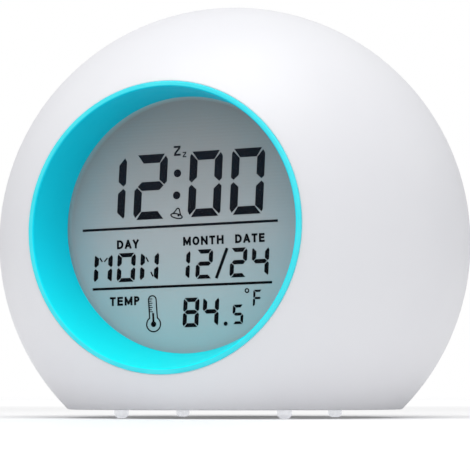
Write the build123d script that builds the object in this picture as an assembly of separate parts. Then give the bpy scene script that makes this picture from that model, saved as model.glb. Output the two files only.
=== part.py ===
from build123d import *
import os
from math import cos, hypot, radians, sin, sqrt, tan

# Ball-shaped digital alarm clock. Lengths are in millimetres, +Z is up and the display faces -Y.
# Every piece is drawn about the centre of the ball, then lifted so that the feet stand on z = 0.

# Ball shell
BALL_RADIUS = 50.0
SHELL_WALL = 2.4
RIM_ROUND = 0.8  # rounding of the underside and rear edges
BOSS_RADIUS = 2.3  # screw bosses moulded in the shell and covers
BOSS_LENGTH = 6.5
WEB_THICKNESS = 2.4  # webs that tie the bosses to the shell wall

# Screws and fits
SCREW_RADIUS = 0.9
SCREW_HEAD_RADIUS = 1.7
SCREW_HEAD_HEIGHT = 1.2
SCREW_SLOT_WIDTH = 0.5
SCREW_SLOT_DEPTH = 0.6
THREAD_CLEARANCE = 0.05
HOLE_CLEARANCE = 0.2
SEAM_GAP = 0.25  # between covers and the openings they close
SLIDE_GAP = 0.05  # between a button's flange and its stop
HEAD_SINK = 0.3  # screw heads below the surface of the covers

# Feet
FOOT_RADIUS = 1.5
FOOT_HEIGHT = 1.7
FOOT_ROUND = 1.0
FOOT_SPACING_X = 35.4
FOOT_SPACING_Y = 34.0
FOOT_SHIFT_Y = -2.5  # middle of the foot pattern from the ball centre

# Bezel and sunk display
BEZEL_RADIUS = 28.5
LIP_PROUD = 0.4  # bezel lip in front of the edge of the ball
LIP_WIDTH = 1.1
LIP_ROUND = 0.35
RECESS_DEPTH = 12.4  # lip down to the lens
WINDOW_STEP = 2.8  # outer edge of the bezel in to the window
WINDOW_RISE = 1.5  # window centre above the bezel centre
EAR_RADIUS = 1.9
EAR_THICKNESS = 1.5
EAR_WALL_ROOM = 0.35  # bezel ears inside the curve of the shell wall
EAR_ANGLES = (45, 135, 225, 315)
BEZEL_GAP = 0.15  # around the bezel in the shell and around its ears
LENS_STEP = 0.6  # outer edge of the bezel in to the edge of the lens
LENS_THICKNESS = 1.2
LCD_THICKNESS = 2.4
LCD_LEDGE_THICKNESS = 1.1  # front glass left bare for the contacts
GUIDE_THICKNESS = 3.0
GLASS_GAP = 0.3  # around the glass in the holder
HOLDER_WALL = 1.2
HOLDER_FLOOR = 1.5
POST_LENGTH = 6.0  # holder posts behind the bezel ears
STRIP_LENGTH = 22.0  # rubber contact strip
STRIP_HEIGHT = 2.5
STRIP_INSET = 4.4  # edge of the glass in to the strip
STRIP_GAP = 0.3

# Main board
BOARD_INSET = 0.9  # edge of the lens in to the edge of the board
BOARD_THICKNESS = 1.6
BOARD_STANDOFF = 1.6
BOARD_SCREW_INSET = 4.5  # screws from the edge of the board
STANDOFF_RADIUS = 2.0
CHIP_SIZE = 11.0
CHIP_HEIGHT = 1.6
CRYSTAL_RADIUS = 1.5
CRYSTAL_LENGTH = 8.0
CAPACITOR_RADIUS = 2.5
CAPACITOR_LENGTH = 7.0
SENSOR_RADIUS = 1.2
SENSOR_LENGTH = 3.0
SOCKET_WIDTH = 7.0
SOCKET_DEPTH = 4.0
SOCKET_HEIGHT = 4.5
LED_WIDTH = 3.4
LED_HEIGHT = 1.4
LED_WINDOW_GAP = 0.6

# Snooze button
SNOOZE_RADIUS = 17.0
SNOOZE_WALL = 2.0
SNOOZE_TRAVEL = 1.0
SNOOZE_STEM_RADIUS = 2.2
SNOOZE_EDGE_ROUND = 0.3
SNOOZE_FLANGE_WIDTH = 1.4
SNOOZE_FLANGE_THICKNESS = 1.0
COLLAR_WIDTH = 2.5
COLLAR_DROP = 1.3  # collar below the inner wall at the edge of the button hole
CARRIER_THICKNESS = 1.6
CARRIER_DROP = 5.0  # collar down to the carrier
CARRIER_POST_INSET = 2.6  # carrier posts outside the button flange
CARRIER_ANGLES = (30, 150, 270)
SNOOZE_BOARD_RADIUS = 9.0
SNOOZE_BOARD_THICKNESS = 1.2
SWITCH_SIZE = 6.0
SWITCH_HEIGHT = 3.4
PLUNGER_RADIUS = 1.5
PLUNGER_HEIGHT = 0.6

# Rear cover, keys and battery door
REAR_RIM_WIDTH = 2.5
COVER_THICKNESS = 2.4
COVER_INSET = 1.0  # cover face inside the rear rim
COVER_MARGIN = 0.5  # edge of the cover outside the outermost thing that it carries
COVER_SCREW_INSET = 3.2  # screws from the edge of the cover
COVER_SCREW_ANGLES = (90, 240, 300)
KEY_NAMES = ("mode_button", "set_button", "up_button", "down_button", "alarm_button")
KEY_RADIUS = 2.3
KEY_PITCH = 6.6
KEY_ROW_RISE = 4.95  # key row above the upper edge of the door
KEY_PROUD = 0.9
KEY_TRAVEL = 0.6
KEY_GAP = 0.2
KEY_FLANGE_WIDTH = 0.6
KEY_FLANGE_THICKNESS = 1.0
KEY_STEM_RADIUS = 1.4
KEY_ROUND = 0.35
KEY_BOARD_MARGIN = 2.6  # key board past the middle of its posts
KEY_BOARD_HEIGHT = 7.0
KEY_BOARD_CORNER = 3.0
KEY_POST_GAP = 0.3  # between the posts and the outer keys and switches
KEY_POST_RADIUS = 1.9
DOOR_CELL_ROOM = 0.25  # door past each end of the cells
DOOR_BOX_ROOM = 0.7  # door above and below the inside of the battery box
DOOR_CORNER = 6.0
DOOR_DROP = 1.5  # door centre below the ball centre
KNUCKLE_LENGTH = 32.0
PIN_RADIUS = 0.7
PIN_LENGTH = 1.8
PIN_CLEARANCE = 0.05
EAR_ROOM = 0.25  # between the door and the hinge ears
SCOOP_RADIUS = 9.0
SCOOP_DEPTH = 1.2

# Battery box and cells
CELL_RADIUS = 5.2
CELL_LENGTH = 43.5
NUB_RADIUS = 1.9
NUB_LENGTH = 1.0
CELL_SPACING = 0.3  # between neighbouring cells
CELL_COUNT = 3
CELL_PLACES = ("bottom", "middle", "top")
CELL_GAP = 0.15
BOX_WALL = 1.2
BOX_CORNER = 2.7
PLATE_THICKNESS = 0.4
PLATE_WIDTH = 7.0
LEAF_RADIUS = 3.0
LEAF_THICKNESS = 0.6
CELL_DOOR_GAP = 0.5
LUG_RADIUS = 2.0
LUG_THICKNESS = 1.6
LUG_SETBACK = 3.0  # cover to the box lugs

# Base plate, light board and speaker
BASE_THICKNESS = 2.2
HOLDER_RISE = 3.85  # base plate up to the display holder
BASE_SCREW_INSET = 3.7
BASE_SCREW_ANGLES = (30, 150, 210, 330)
GLOW_BOARD_RADIUS = 8.5
GLOW_BOARD_GAP = 1.0  # between the light board and the speaker
GLOW_BOARD_RISE = 0.6  # base plate up to the light board
GLOW_POST_RADIUS = 1.6
GLOW_PIN_RADIUS = 0.8
GLOW_PIN_TOP = 0.4
GLOW_POST_CIRCLE = 6.5
GLOW_LED_SIZE = 4.0
GLOW_LED_CIRCLE = 3.2
SPEAKER_RADIUS = 11.5
SPEAKER_EDGE_ROOM = 2.5  # speaker inside the edge of the base plate
SPEAKER_RIM_WIDTH = 1.6
SPEAKER_RIM_HEIGHT = 1.5
SPEAKER_DEPTH = 6.0
SPEAKER_SHEET = 0.7
MAGNET_RADIUS = 6.0
MAGNET_HEIGHT = 3.5
CONE_SHEET = 0.4
CONE_APEX_RADIUS = 2.5
CONE_DEPTH = 2.6
GRILLE_HOLE_RADIUS = 0.8
GRILLE_PITCH = 2.8
GRILLE_RINGS = 3

# Leads between the boards
LEAD_RADIUS = 0.6
LEAD_SPACING = 1.5
LEAD_BEND_SHARE = 0.45  # of the shorter run, used up by each bend
LEAD_RUN = 9.0  # straight run out of a socket or board
KEY_LEAD_COUNT = 3
KEY_LEAD_X = -11.0
BATTERY_LEAD_HEIGHT = 8.0
SNOOZE_LEAD_Y = 3.0
GLOW_LEAD_X = 7.0

# Places worked out from the sizes above
inner_radius = BALL_RADIUS - SHELL_WALL
core_radius = BALL_RADIUS - SHELL_WALL / 2
far = 2 * BALL_RADIUS
lip_reach = sqrt(BALL_RADIUS**2 - BEZEL_RADIUS**2) + LIP_PROUD
lens_front = -lip_reach + RECESS_DEPTH
lcd_front = lens_front + LENS_THICKNESS
guide_front = lcd_front + LCD_THICKNESS
floor_front = guide_front + GUIDE_THICKNESS
floor_back = floor_front + HOLDER_FLOOR
board_front = floor_back + BOARD_STANDOFF
board_back = board_front + BOARD_THICKNESS
ear_circle = BEZEL_RADIUS + BEZEL_GAP + EAR_RADIUS
ear_front = -sqrt(inner_radius**2 - (ear_circle + EAR_RADIUS + EAR_WALL_ROOM) ** 2)
ear_back = ear_front + EAR_THICKNESS
post_back = ear_back + POST_LENGTH
window_radius = BEZEL_RADIUS - WINDOW_STEP
lens_radius = BEZEL_RADIUS - LENS_STEP
glass_radius = lens_radius - GLASS_GAP
holder_bore = lens_radius + SEAM_GAP
holder_radius = holder_bore + HOLDER_WALL
board_radius = lens_radius - BOARD_INSET
board_screw_circle = board_radius - BOARD_SCREW_INSET
strip_drop = glass_radius - STRIP_INSET
strip_top = -strip_drop + STRIP_HEIGHT / 2 + STRIP_GAP
socket_back = board_back + SOCKET_HEIGHT
socket_offset = CHIP_SIZE / 2 + SOCKET_WIDTH
side_socket_offset = socket_offset + SOCKET_WIDTH / 2 + CAPACITOR_RADIUS / 2

snooze_hole = SNOOZE_RADIUS + SEAM_GAP
collar_bottom = sqrt(inner_radius**2 - snooze_hole**2) - COLLAR_DROP
flange_top = collar_bottom - SLIDE_GAP
flange_bottom = flange_top - SNOOZE_FLANGE_THICKNESS
flange_radius = SNOOZE_RADIUS + SNOOZE_FLANGE_WIDTH
carrier_top = collar_bottom - CARRIER_DROP
carrier_bottom = carrier_top - CARRIER_THICKNESS
carrier_post_circle = flange_radius + CARRIER_POST_INSET
snooze_board_top = carrier_top + SNOOZE_BOARD_THICKNESS
snooze_plunger_top = snooze_board_top + SWITCH_HEIGHT + PLUNGER_HEIGHT
snooze_stem_bottom = snooze_plunger_top + SNOOZE_TRAVEL + SLIDE_GAP

cell_reach = CELL_LENGTH + NUB_LENGTH
cell_pitch = 2 * CELL_RADIUS + CELL_SPACING
box_length = cell_reach + 2 * (PLATE_THICKNESS + LEAF_THICKNESS + SLIDE_GAP)
box_height = (CELL_COUNT - 1) * cell_pitch + 2 * (CELL_RADIUS + CELL_GAP)
lug_x = box_length / 2 + BOX_WALL + LUG_RADIUS + SEAM_GAP
door_width = cell_reach + 2 * DOOR_CELL_ROOM
door_height = box_height + 2 * DOOR_BOX_ROOM
door_middle_z = -DOOR_DROP
door_top = door_middle_z + door_height / 2
hinge_z = door_middle_z - door_height / 2
door_corner_reach = hypot(door_width / 2 - DOOR_CORNER, hinge_z + DOOR_CORNER) + DOOR_CORNER
key_row_height = door_top + KEY_ROW_RISE
key_row_half = (len(KEY_NAMES) - 1) / 2 * KEY_PITCH
key_half_width = max(KEY_RADIUS + KEY_FLANGE_WIDTH, SWITCH_SIZE / 2)
key_post_x = key_row_half + key_half_width + KEY_POST_GAP + KEY_POST_RADIUS
key_board_length = 2 * (key_post_x + KEY_BOARD_MARGIN)

cover_radius = COVER_MARGIN + max(
    door_corner_reach + EAR_ROOM,
    hypot(key_post_x, key_row_height) + KEY_POST_RADIUS,
    hypot(lug_x, door_middle_z) + LUG_RADIUS,
)
rear_bore = cover_radius + SEAM_GAP
back_reach = sqrt(BALL_RADIUS**2 - (rear_bore + REAR_RIM_WIDTH) ** 2)
cover_back = back_reach - COVER_INSET
cover_front = cover_back - COVER_THICKNESS
cover_screw_circle = cover_radius - COVER_SCREW_INSET
key_flange_back = cover_front - SLIDE_GAP
key_flange_front = key_flange_back - KEY_FLANGE_THICKNESS
key_stem_front = key_flange_front - KEY_TRAVEL
key_plunger_back = key_stem_front - KEY_TRAVEL - SLIDE_GAP
key_switch_back = key_plunger_back - PLUNGER_HEIGHT
key_board_back = key_switch_back - SWITCH_HEIGHT
key_board_front = key_board_back - BOARD_THICKNESS
hinge_y = (cover_front + cover_back) / 2
knuckle_radius = COVER_THICKNESS / 2
knuckle_room = knuckle_radius + EAR_ROOM
ear_swing = hypot(knuckle_radius, knuckle_room)  # hinge axis to the outer edge of the hinge ears

cell_y = cover_front - CELL_DOOR_GAP - CELL_RADIUS
box_floor = cell_y - CELL_RADIUS - CELL_GAP
box_front = box_floor - BOX_WALL
lug_back = cover_front - LUG_SETBACK
lug_front = lug_back - LUG_THICKNESS

base_drop = holder_radius + HOLDER_RISE + BASE_THICKNESS
base_bottom = -base_drop
base_top = base_bottom + BASE_THICKNESS
base_radius = sqrt(inner_radius**2 - base_drop**2) - SEAM_GAP
base_screw_circle = base_radius - BASE_SCREW_INSET
glow_board_bottom = base_top + GLOW_BOARD_RISE
glow_board_top = glow_board_bottom + BOARD_THICKNESS
speaker_y = base_radius - SPEAKER_EDGE_ROOM - SPEAKER_RADIUS
speaker_back = base_top + SPEAKER_DEPTH
glow_board_y = speaker_y - SPEAKER_RADIUS - GLOW_BOARD_GAP - GLOW_BOARD_RADIUS
basket_back_radius = MAGNET_RADIUS + 2 * LEAD_SPACING
speaker_lead_y = speaker_y - MAGNET_RADIUS - LEAD_SPACING

ball_height = FOOT_HEIGHT + base_drop
ball_shift = (lip_reach - back_reach) / 2


def around(radius, degrees):
    """First and second coordinate of a point on a circle."""
    return radius * cos(radians(degrees)), radius * sin(radians(degrees))


def block(x_range, y_range, z_range):
    """Box between three pairs of limits."""
    ranges = (x_range, y_range, z_range)
    sizes = [high - low for low, high in ranges]
    middles = [(high + low) / 2 for low, high in ranges]
    return Pos(*middles) * Box(*sizes)


def rod_x(radius, x_range, y, z):
    """Cylinder along X."""
    length = x_range[1] - x_range[0]
    return Pos(sum(x_range) / 2, y, z) * Rot(0, 90, 0) * Cylinder(radius, length)


def rod_y(radius, y_range, x=0.0, z=0.0):
    """Cylinder along Y."""
    length = y_range[1] - y_range[0]
    return Pos(x, sum(y_range) / 2, z) * Rot(90, 0, 0) * Cylinder(radius, length)


def rod_z(radius, z_range, x=0.0, y=0.0):
    """Cylinder along Z."""
    length = z_range[1] - z_range[0]
    return Pos(x, y, sum(z_range) / 2) * Cylinder(radius, length)


def rounded_plate(width, height, corner, y_range, z=0.0):
    """Upright plate with rounded corners, flat faces to the front and back."""
    half = (y_range[1] - y_range[0]) / 2
    outline = RectangleRounded(width, height, corner)
    return Pos(0, sum(y_range) / 2, z) * Rot(90, 0, 0) * extrude(outline, half, both=True)


def turned(points):
    """Ring swept about the Z axis from corners given as radius and height."""
    corners = [(radius, 0, height) for radius, height in points]
    return revolve(make_face(Polyline(*corners, close=True)), Axis.Z)


def joined(pieces):
    """One shape out of overlapping pieces."""
    pieces = list(pieces)
    shape = pieces[0]
    for piece in pieces[1:]:
        shape += piece
    return shape


def group(pieces):
    """Separate solids kept together under one name."""
    return Compound([solid for piece in pieces for solid in piece.solids()])


def screw(length):
    """Cross-head screw: shank down the Z axis, underside of the head at z = 0."""
    shank = rod_z(SCREW_RADIUS, (-length, 0))
    head = rod_z(SCREW_HEAD_RADIUS, (0, SCREW_HEAD_HEIGHT))
    slot_floor = SCREW_HEAD_HEIGHT - SCREW_SLOT_DEPTH
    slot_reach = SCREW_HEAD_RADIUS / sqrt(2)
    half = SCREW_SLOT_WIDTH / 2
    slot_z = (slot_floor, SCREW_HEAD_HEIGHT)
    slot = block((-slot_reach, slot_reach), (-half, half), slot_z)
    slot += block((-half, half), (-slot_reach, slot_reach), slot_z)
    return shank + head - slot


def screw_forward(length, x, y, z):
    """Screw driven towards -Y from a seat at y."""
    return Pos(x, y, z) * Rot(-90, 0, 0) * screw(length)


def screw_backward(length, x, y, z):
    """Screw driven towards +Y from a seat at y."""
    return Pos(x, y, z) * Rot(90, 0, 0) * screw(length)


def screw_upward(length, x, y, z):
    """Screw driven upwards from a seat at z."""
    return Pos(x, y, z) * Rot(180, 0, 0) * screw(length)


def ear_places():
    return [around(ear_circle, angle) for angle in EAR_ANGLES]


def board_screw_places():
    return [around(board_screw_circle, angle) for angle in EAR_ANGLES]


def carrier_places():
    return [around(carrier_post_circle, angle) for angle in CARRIER_ANGLES]


def cover_screw_places():
    return [around(cover_screw_circle, angle) for angle in COVER_SCREW_ANGLES]


def base_screw_places():
    return [around(base_screw_circle, angle) for angle in BASE_SCREW_ANGLES]


def key_places():
    return [index * KEY_PITCH - key_row_half for index in range(len(KEY_NAMES))]


def cell_heights():
    middle = (CELL_COUNT - 1) / 2
    return [door_middle_z + (index - middle) * cell_pitch for index in range(CELL_COUNT)]


def foot_places():
    sides = {"left": -FOOT_SPACING_X / 2, "right": FOOT_SPACING_X / 2}
    ends = {"front": -FOOT_SPACING_Y / 2, "rear": FOOT_SPACING_Y / 2}
    return {
        f"foot_{end}_{side}": (x, FOOT_SHIFT_Y + y)
        for end, y in ends.items()
        for side, x in sides.items()
    }


def make_outer_ball():
    """Solid ball with its flat underside, flat rear rim and rounded edges."""
    ball = Sphere(BALL_RADIUS)
    ball -= block((-far, far), (-far, far), (-far, base_bottom))
    ball -= block((-far, far), (back_reach, far), (-far, far))
    rims = ball.edges().group_by(Axis.Z)[0] + ball.edges().group_by(Axis.Y)[-1]
    return fillet(rims, RIM_ROUND)


def display_bosses():
    """Shell bosses behind the bezel ears."""
    for x, z in ear_places():
        yield rod_y(BOSS_RADIUS, (-BALL_RADIUS, ear_front), x, z)


def cover_bosses():
    """Shell bosses under the rear cover, each with a web out to the wall."""
    span = (cover_front - BOSS_LENGTH, cover_front)
    half = WEB_THICKNESS / 2
    for angle in COVER_SCREW_ANGLES:
        boss = rod_y(BOSS_RADIUS, span, cover_screw_circle)
        web = block((cover_screw_circle, BALL_RADIUS), span, (-half, half))
        yield Rot(0, -angle, 0) * (boss + web)


def base_bosses():
    """Shell bosses above the base plate, each with a web out to the wall."""
    span = (base_top, base_top + BOSS_LENGTH)
    half = WEB_THICKNESS / 2
    for angle in BASE_SCREW_ANGLES:
        boss = rod_z(BOSS_RADIUS, span, base_screw_circle)
        web = block((base_screw_circle, BALL_RADIUS), (-half, half), span)
        yield Rot(0, 0, angle) * (boss + web)


def carrier_posts():
    """Shell posts that the snooze carrier hangs from."""
    for x, y in carrier_places():
        yield rod_z(BOSS_RADIUS, (carrier_top, BALL_RADIUS), x, y)


def make_ball_shell():
    """Hollow ball with openings for the bezel, snooze button, rear cover and base plate."""
    shell = make_outer_ball() - Sphere(inner_radius)
    collar_radius = snooze_hole + COLLAR_WIDTH
    fittings = joined(
        [
            *display_bosses(),
            *cover_bosses(),
            *base_bosses(),
            *carrier_posts(),
            rod_z(collar_radius, (collar_bottom, BALL_RADIUS)),
        ]
    )
    shell += fittings & Sphere(core_radius)
    shell -= block((-far, far), (-far, far), (-far, base_bottom))
    shell -= rod_y(BEZEL_RADIUS + BEZEL_GAP, (-far, ear_front))
    shell -= rod_y(rear_bore, (cover_front, far))
    shell -= rod_z(snooze_hole, (flange_bottom, far))
    pilot = SCREW_RADIUS + THREAD_CLEARANCE
    for x, z in ear_places():
        shell -= rod_y(pilot, (ear_front - BOSS_LENGTH / 2, ear_front), x, z)
    for x, z in cover_screw_places():
        shell -= rod_y(pilot, (cover_front - BOSS_LENGTH, cover_front), x, z)
    for x, y in base_screw_places():
        shell -= rod_z(pilot, (base_top, base_top + BOSS_LENGTH), x, y)
    for x, y in carrier_places():
        shell -= rod_z(pilot, (carrier_top, carrier_top + BOSS_LENGTH / 2), x, y)
    return shell


def make_bezel_ring():
    """Lip, funnel wall down to the window and four screw ears."""
    facing = dict(x_dir=(1, 0, 0), z_dir=(0, -1, 0))
    mouth = Plane(origin=(0, -lip_reach, 0), **facing) * Circle(BEZEL_RADIUS - LIP_WIDTH)
    window = Plane(origin=(0, lens_front, WINDOW_RISE), **facing) * Circle(window_radius)
    bezel = rod_y(BEZEL_RADIUS, (-lip_reach, lens_front))
    bezel -= loft([window, mouth], ruled=True)
    bezel = fillet(bezel.edges().group_by(Axis.Y)[0], LIP_ROUND)
    ear_span = (ear_front, ear_back)
    inside = BEZEL_RADIUS - LIP_WIDTH / 2
    for angle in EAR_ANGLES:
        ear = rod_y(EAR_RADIUS, ear_span, ear_circle)
        ear += block((inside, ear_circle), ear_span, (-EAR_RADIUS, EAR_RADIUS))
        ear -= rod_y(SCREW_RADIUS + HOLE_CLEARANCE, ear_span, ear_circle)
        bezel += Rot(0, -angle, 0) * ear
    return bezel


def make_display_lens():
    return rod_y(lens_radius, (lens_front, lcd_front))


def make_lcd_panel():
    """Two glasses, the rear one cut short to leave the contact ledge bare."""
    panel = rod_y(glass_radius, (lcd_front, guide_front))
    ledge = lcd_front + LCD_LEDGE_THICKNESS
    return panel - block((-far, far), (ledge, guide_front), (-far, strip_top))


def make_light_guide():
    guide = rod_y(glass_radius, (guide_front, floor_front))
    return guide - block((-far, far), (guide_front, floor_front), (-far, strip_top))


def backlight_places():
    return [around(board_screw_circle / 2, angle) for angle in EAR_ANGLES]


def make_display_holder():
    """Cup round the lens, panel and light guide, with posts to the bezel ears."""
    cup = rod_y(holder_radius, (lens_front, floor_back))
    cup -= rod_y(holder_bore, (lens_front, floor_front))
    for x, z in ear_places():
        post_span = (ear_back, post_back)
        cup += rod_y(EAR_RADIUS, post_span, x, z) - rod_y(holder_bore, post_span)
    cup -= rod_y(BEZEL_RADIUS + BEZEL_GAP, (ear_back, lens_front))
    for x, z in board_screw_places():
        cup += rod_y(STANDOFF_RADIUS, (floor_back, board_front), x, z)
        cup -= rod_y(SCREW_RADIUS + THREAD_CLEARANCE, (floor_front, board_front), x, z)
    for x, z in ear_places():
        cup -= rod_y(SCREW_RADIUS + HOLE_CLEARANCE, (ear_back, post_back), x, z)
        cup -= rod_y(SCREW_HEAD_RADIUS + HOLE_CLEARANCE, (post_back, board_back), x, z)
    half = LED_WIDTH / 2 + LED_WINDOW_GAP
    for x, z in backlight_places():
        cup -= block((x - half, x + half), (floor_front, floor_back), (z - half, z + half))
    half = STRIP_LENGTH / 2 + STRIP_GAP
    bottom = -strip_drop - STRIP_HEIGHT / 2 - STRIP_GAP
    return cup - block((-half, half), (floor_front, floor_back), (bottom, strip_top))


def make_contact_strip():
    """Striped rubber bar from the panel's ledge to the board."""
    half = STRIP_LENGTH / 2
    z_range = (-strip_drop - STRIP_HEIGHT / 2, -strip_drop + STRIP_HEIGHT / 2)
    return block((-half, half), (lcd_front + LCD_LEDGE_THICKNESS, board_front), z_range)


def make_display_screws():
    length = post_back - ear_front + BOSS_LENGTH / 2 - HEAD_SINK
    return group(screw_forward(length, x, post_back, z) for x, z in ear_places())


def make_main_board():
    board = rod_y(board_radius, (board_front, board_back))
    for x, z in board_screw_places():
        board -= rod_y(SCREW_RADIUS + HOLE_CLEARANCE, (board_front, board_back), x, z)
    return board


def make_board_screws():
    length = BOARD_THICKNESS + BOARD_STANDOFF + HOLDER_FLOOR
    return group(screw_forward(length, x, board_back, z) for x, z in board_screw_places())


def make_backlight_leds():
    half = LED_WIDTH / 2
    return group(
        block((x - half, x + half), (board_front - LED_HEIGHT, board_front), (z - half, z + half))
        for x, z in backlight_places()
    )


def make_controller_chip():
    half = CHIP_SIZE / 2
    return block((-half, half), (board_back, board_back + CHIP_HEIGHT), (-half, half))


def make_crystal():
    """Timing crystal can lying on the board beside the chip."""
    x = CHIP_SIZE / 2 + 2 * CRYSTAL_RADIUS
    start = -CRYSTAL_LENGTH / 2
    return rod_z(CRYSTAL_RADIUS, (start, start + CRYSTAL_LENGTH), x, board_back + CRYSTAL_RADIUS)


def make_capacitor():
    x = -CHIP_SIZE / 2 - 2 * CAPACITOR_RADIUS
    return rod_y(CAPACITOR_RADIUS, (board_back, board_back + CAPACITOR_LENGTH), x)


def make_temperature_sensor():
    """Bead that reads the room temperature, low on the board."""
    span = (board_back, board_back + SENSOR_LENGTH)
    return rod_y(SENSOR_RADIUS, span, 0, -strip_drop)


def make_lead_sockets():
    """Sockets for the leads: battery and snooze, speaker, light and keys."""
    half = SOCKET_WIDTH / 2
    depth = SOCKET_DEPTH / 2
    span = (board_back, socket_back)
    places = [(0, socket_offset), (0, -socket_offset)]
    places += [(side_socket_offset, 0), (-side_socket_offset, 0)]
    return group(
        block((x - half, x + half), span, (z - depth, z + depth)) for x, z in places
    )


def make_snooze_button():
    """Top cap that carries on the curve of the ball, with a retaining flange and a stem."""
    bore = SNOOZE_RADIUS - SNOOZE_WALL
    dome = Rot(90, 0, 0) * Sphere(BALL_RADIUS)
    button = dome & rod_z(SNOOZE_RADIUS, (flange_bottom, BALL_RADIUS))
    button = fillet(button.edges().group_by(Axis.Z)[-1], SNOOZE_EDGE_ROUND)
    button += rod_z(flange_radius, (flange_bottom, flange_top))
    button -= Sphere(BALL_RADIUS - SNOOZE_WALL) & rod_z(bore, (flange_bottom, BALL_RADIUS))
    return button + rod_z(SNOOZE_STEM_RADIUS, (snooze_stem_bottom, BALL_RADIUS - SNOOZE_WALL / 2))


def make_snooze_carrier():
    carrier = rod_z(carrier_post_circle + BOSS_RADIUS, (carrier_bottom, carrier_top))
    for x, y in carrier_places():
        carrier -= rod_z(SCREW_RADIUS + HOLE_CLEARANCE, (carrier_bottom, carrier_top), x, y)
    for x in snooze_lead_places():
        carrier -= rod_z(LEAD_RADIUS + HOLE_CLEARANCE, (carrier_bottom, carrier_top), x, SNOOZE_LEAD_Y)
    return carrier


def make_carrier_screws():
    length = CARRIER_THICKNESS + BOSS_LENGTH / 2 - HEAD_SINK
    return group(screw_upward(length, x, y, carrier_bottom) for x, y in carrier_places())


def make_snooze_board():
    return rod_z(SNOOZE_BOARD_RADIUS, (carrier_top, snooze_board_top))


def make_snooze_switch():
    half = SWITCH_SIZE / 2
    body_top = snooze_board_top + SWITCH_HEIGHT
    body = block((-half, half), (-half, half), (snooze_board_top, body_top))
    return body + rod_z(PLUNGER_RADIUS, (body_top, snooze_plunger_top))


def door_outline(margin, y_range):
    """Rounded plate of the battery door, grown all round by a margin."""
    width = door_width + 2 * margin
    height = door_height + 2 * margin
    return rounded_plate(width, height, DOOR_CORNER + margin, y_range, door_middle_z)


def hinge_zones(x_start, z_range):
    """Pair of blocks beside the knuckle, at the two lower corners of the door."""
    y_range = (cover_front, cover_back)
    for x_range in ((-door_width, -x_start), (x_start, door_width)):
        yield block(x_range, y_range, z_range)


def make_battery_door():
    """Door hinged along its lower edge on a rounded knuckle with two stub pins."""
    half = KNUCKLE_LENGTH / 2
    ear_top = hinge_z + ear_swing + EAR_ROOM
    door = door_outline(0.0, (cover_front, cover_back))
    for zone in hinge_zones(half, (hinge_z - knuckle_radius, ear_top)):
        door -= zone
    door += rod_x(knuckle_radius, (-half, half), hinge_y, hinge_z)
    door += rod_x(PIN_RADIUS, (-half - PIN_LENGTH, half + PIN_LENGTH), hinge_y, hinge_z)
    scoop_y = cover_back + SCOOP_RADIUS - SCOOP_DEPTH
    return door - Pos(0, scoop_y, door_top) * Sphere(SCOOP_RADIUS)


def make_back_cover():
    """Round rear cover with the door opening, hinge ears, key holes and screw holes."""
    span = (cover_front, cover_back)
    half = KNUCKLE_LENGTH / 2 + EAR_ROOM
    cover = rod_y(cover_radius, span)
    opening = door_outline(EAR_ROOM, span)
    for zone in hinge_zones(half, (hinge_z - door_height, hinge_z + knuckle_room)):
        opening -= zone
    opening += block((-half, half), span, (hinge_z - knuckle_room, hinge_z + knuckle_room))
    cover -= opening
    pin_end = KNUCKLE_LENGTH / 2 + PIN_LENGTH + EAR_ROOM
    cover -= rod_x(PIN_RADIUS + PIN_CLEARANCE, (-pin_end, pin_end), hinge_y, hinge_z)
    for x in key_places():
        cover -= rod_y(KEY_RADIUS + KEY_GAP, span, x, key_row_height)
    head_seat = cover_back - SCREW_HEAD_HEIGHT - HEAD_SINK
    for x, z in cover_screw_places():
        cover -= rod_y(SCREW_RADIUS + HOLE_CLEARANCE, span, x, z)
        cover -= rod_y(SCREW_HEAD_RADIUS + HOLE_CLEARANCE, (head_seat, cover_back), x, z)
    pilot = SCREW_RADIUS + THREAD_CLEARANCE
    for x in (-key_post_x, key_post_x):
        cover += rod_y(KEY_POST_RADIUS, (key_board_back, cover_front), x, key_row_height)
        cover -= rod_y(pilot, (key_board_back, cover_front), x, key_row_height)
    for x in (-lug_x, lug_x):
        cover += rod_y(LUG_RADIUS, (lug_back, cover_front), x, door_middle_z)
        cover -= rod_y(pilot, (lug_back, cover_front), x, door_middle_z)
    return cover


def make_cover_screws():
    seat = cover_back - SCREW_HEAD_HEIGHT - HEAD_SINK
    length = seat - cover_front + BOSS_LENGTH - HEAD_SINK
    return group(screw_forward(length, x, seat, z) for x, z in cover_screw_places())


def make_key(x):
    """Rear key with a domed edge, a flange behind the cover and a stem to its switch."""
    key = rod_y(KEY_RADIUS, (key_flange_back, cover_back + KEY_PROUD), x, key_row_height)
    key = fillet(key.edges().group_by(Axis.Y)[-1], KEY_ROUND)
    flange_span = (key_flange_front, key_flange_back)
    key += rod_y(KEY_RADIUS + KEY_FLANGE_WIDTH, flange_span, x, key_row_height)
    return key + rod_y(KEY_STEM_RADIUS, (key_stem_front, key_flange_front), x, key_row_height)


def make_key_board():
    span = (key_board_front, key_board_back)
    board = rounded_plate(key_board_length, KEY_BOARD_HEIGHT, KEY_BOARD_CORNER, span, key_row_height)
    for x in (-key_post_x, key_post_x):
        board -= rod_y(SCREW_RADIUS + HOLE_CLEARANCE, span, x, key_row_height)
    return board


def make_key_board_screws():
    length = cover_front - key_board_front - HEAD_SINK
    return group(
        screw_backward(length, x, key_board_front, key_row_height) for x in (-key_post_x, key_post_x)
    )


def make_key_switches():
    half = SWITCH_SIZE / 2
    z_range = (key_row_height - half, key_row_height + half)
    return group(
        block((x - half, x + half), (key_board_back, key_switch_back), z_range)
        + rod_y(PLUNGER_RADIUS, (key_switch_back, key_plunger_back), x, key_row_height)
        for x in key_places()
    )


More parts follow.
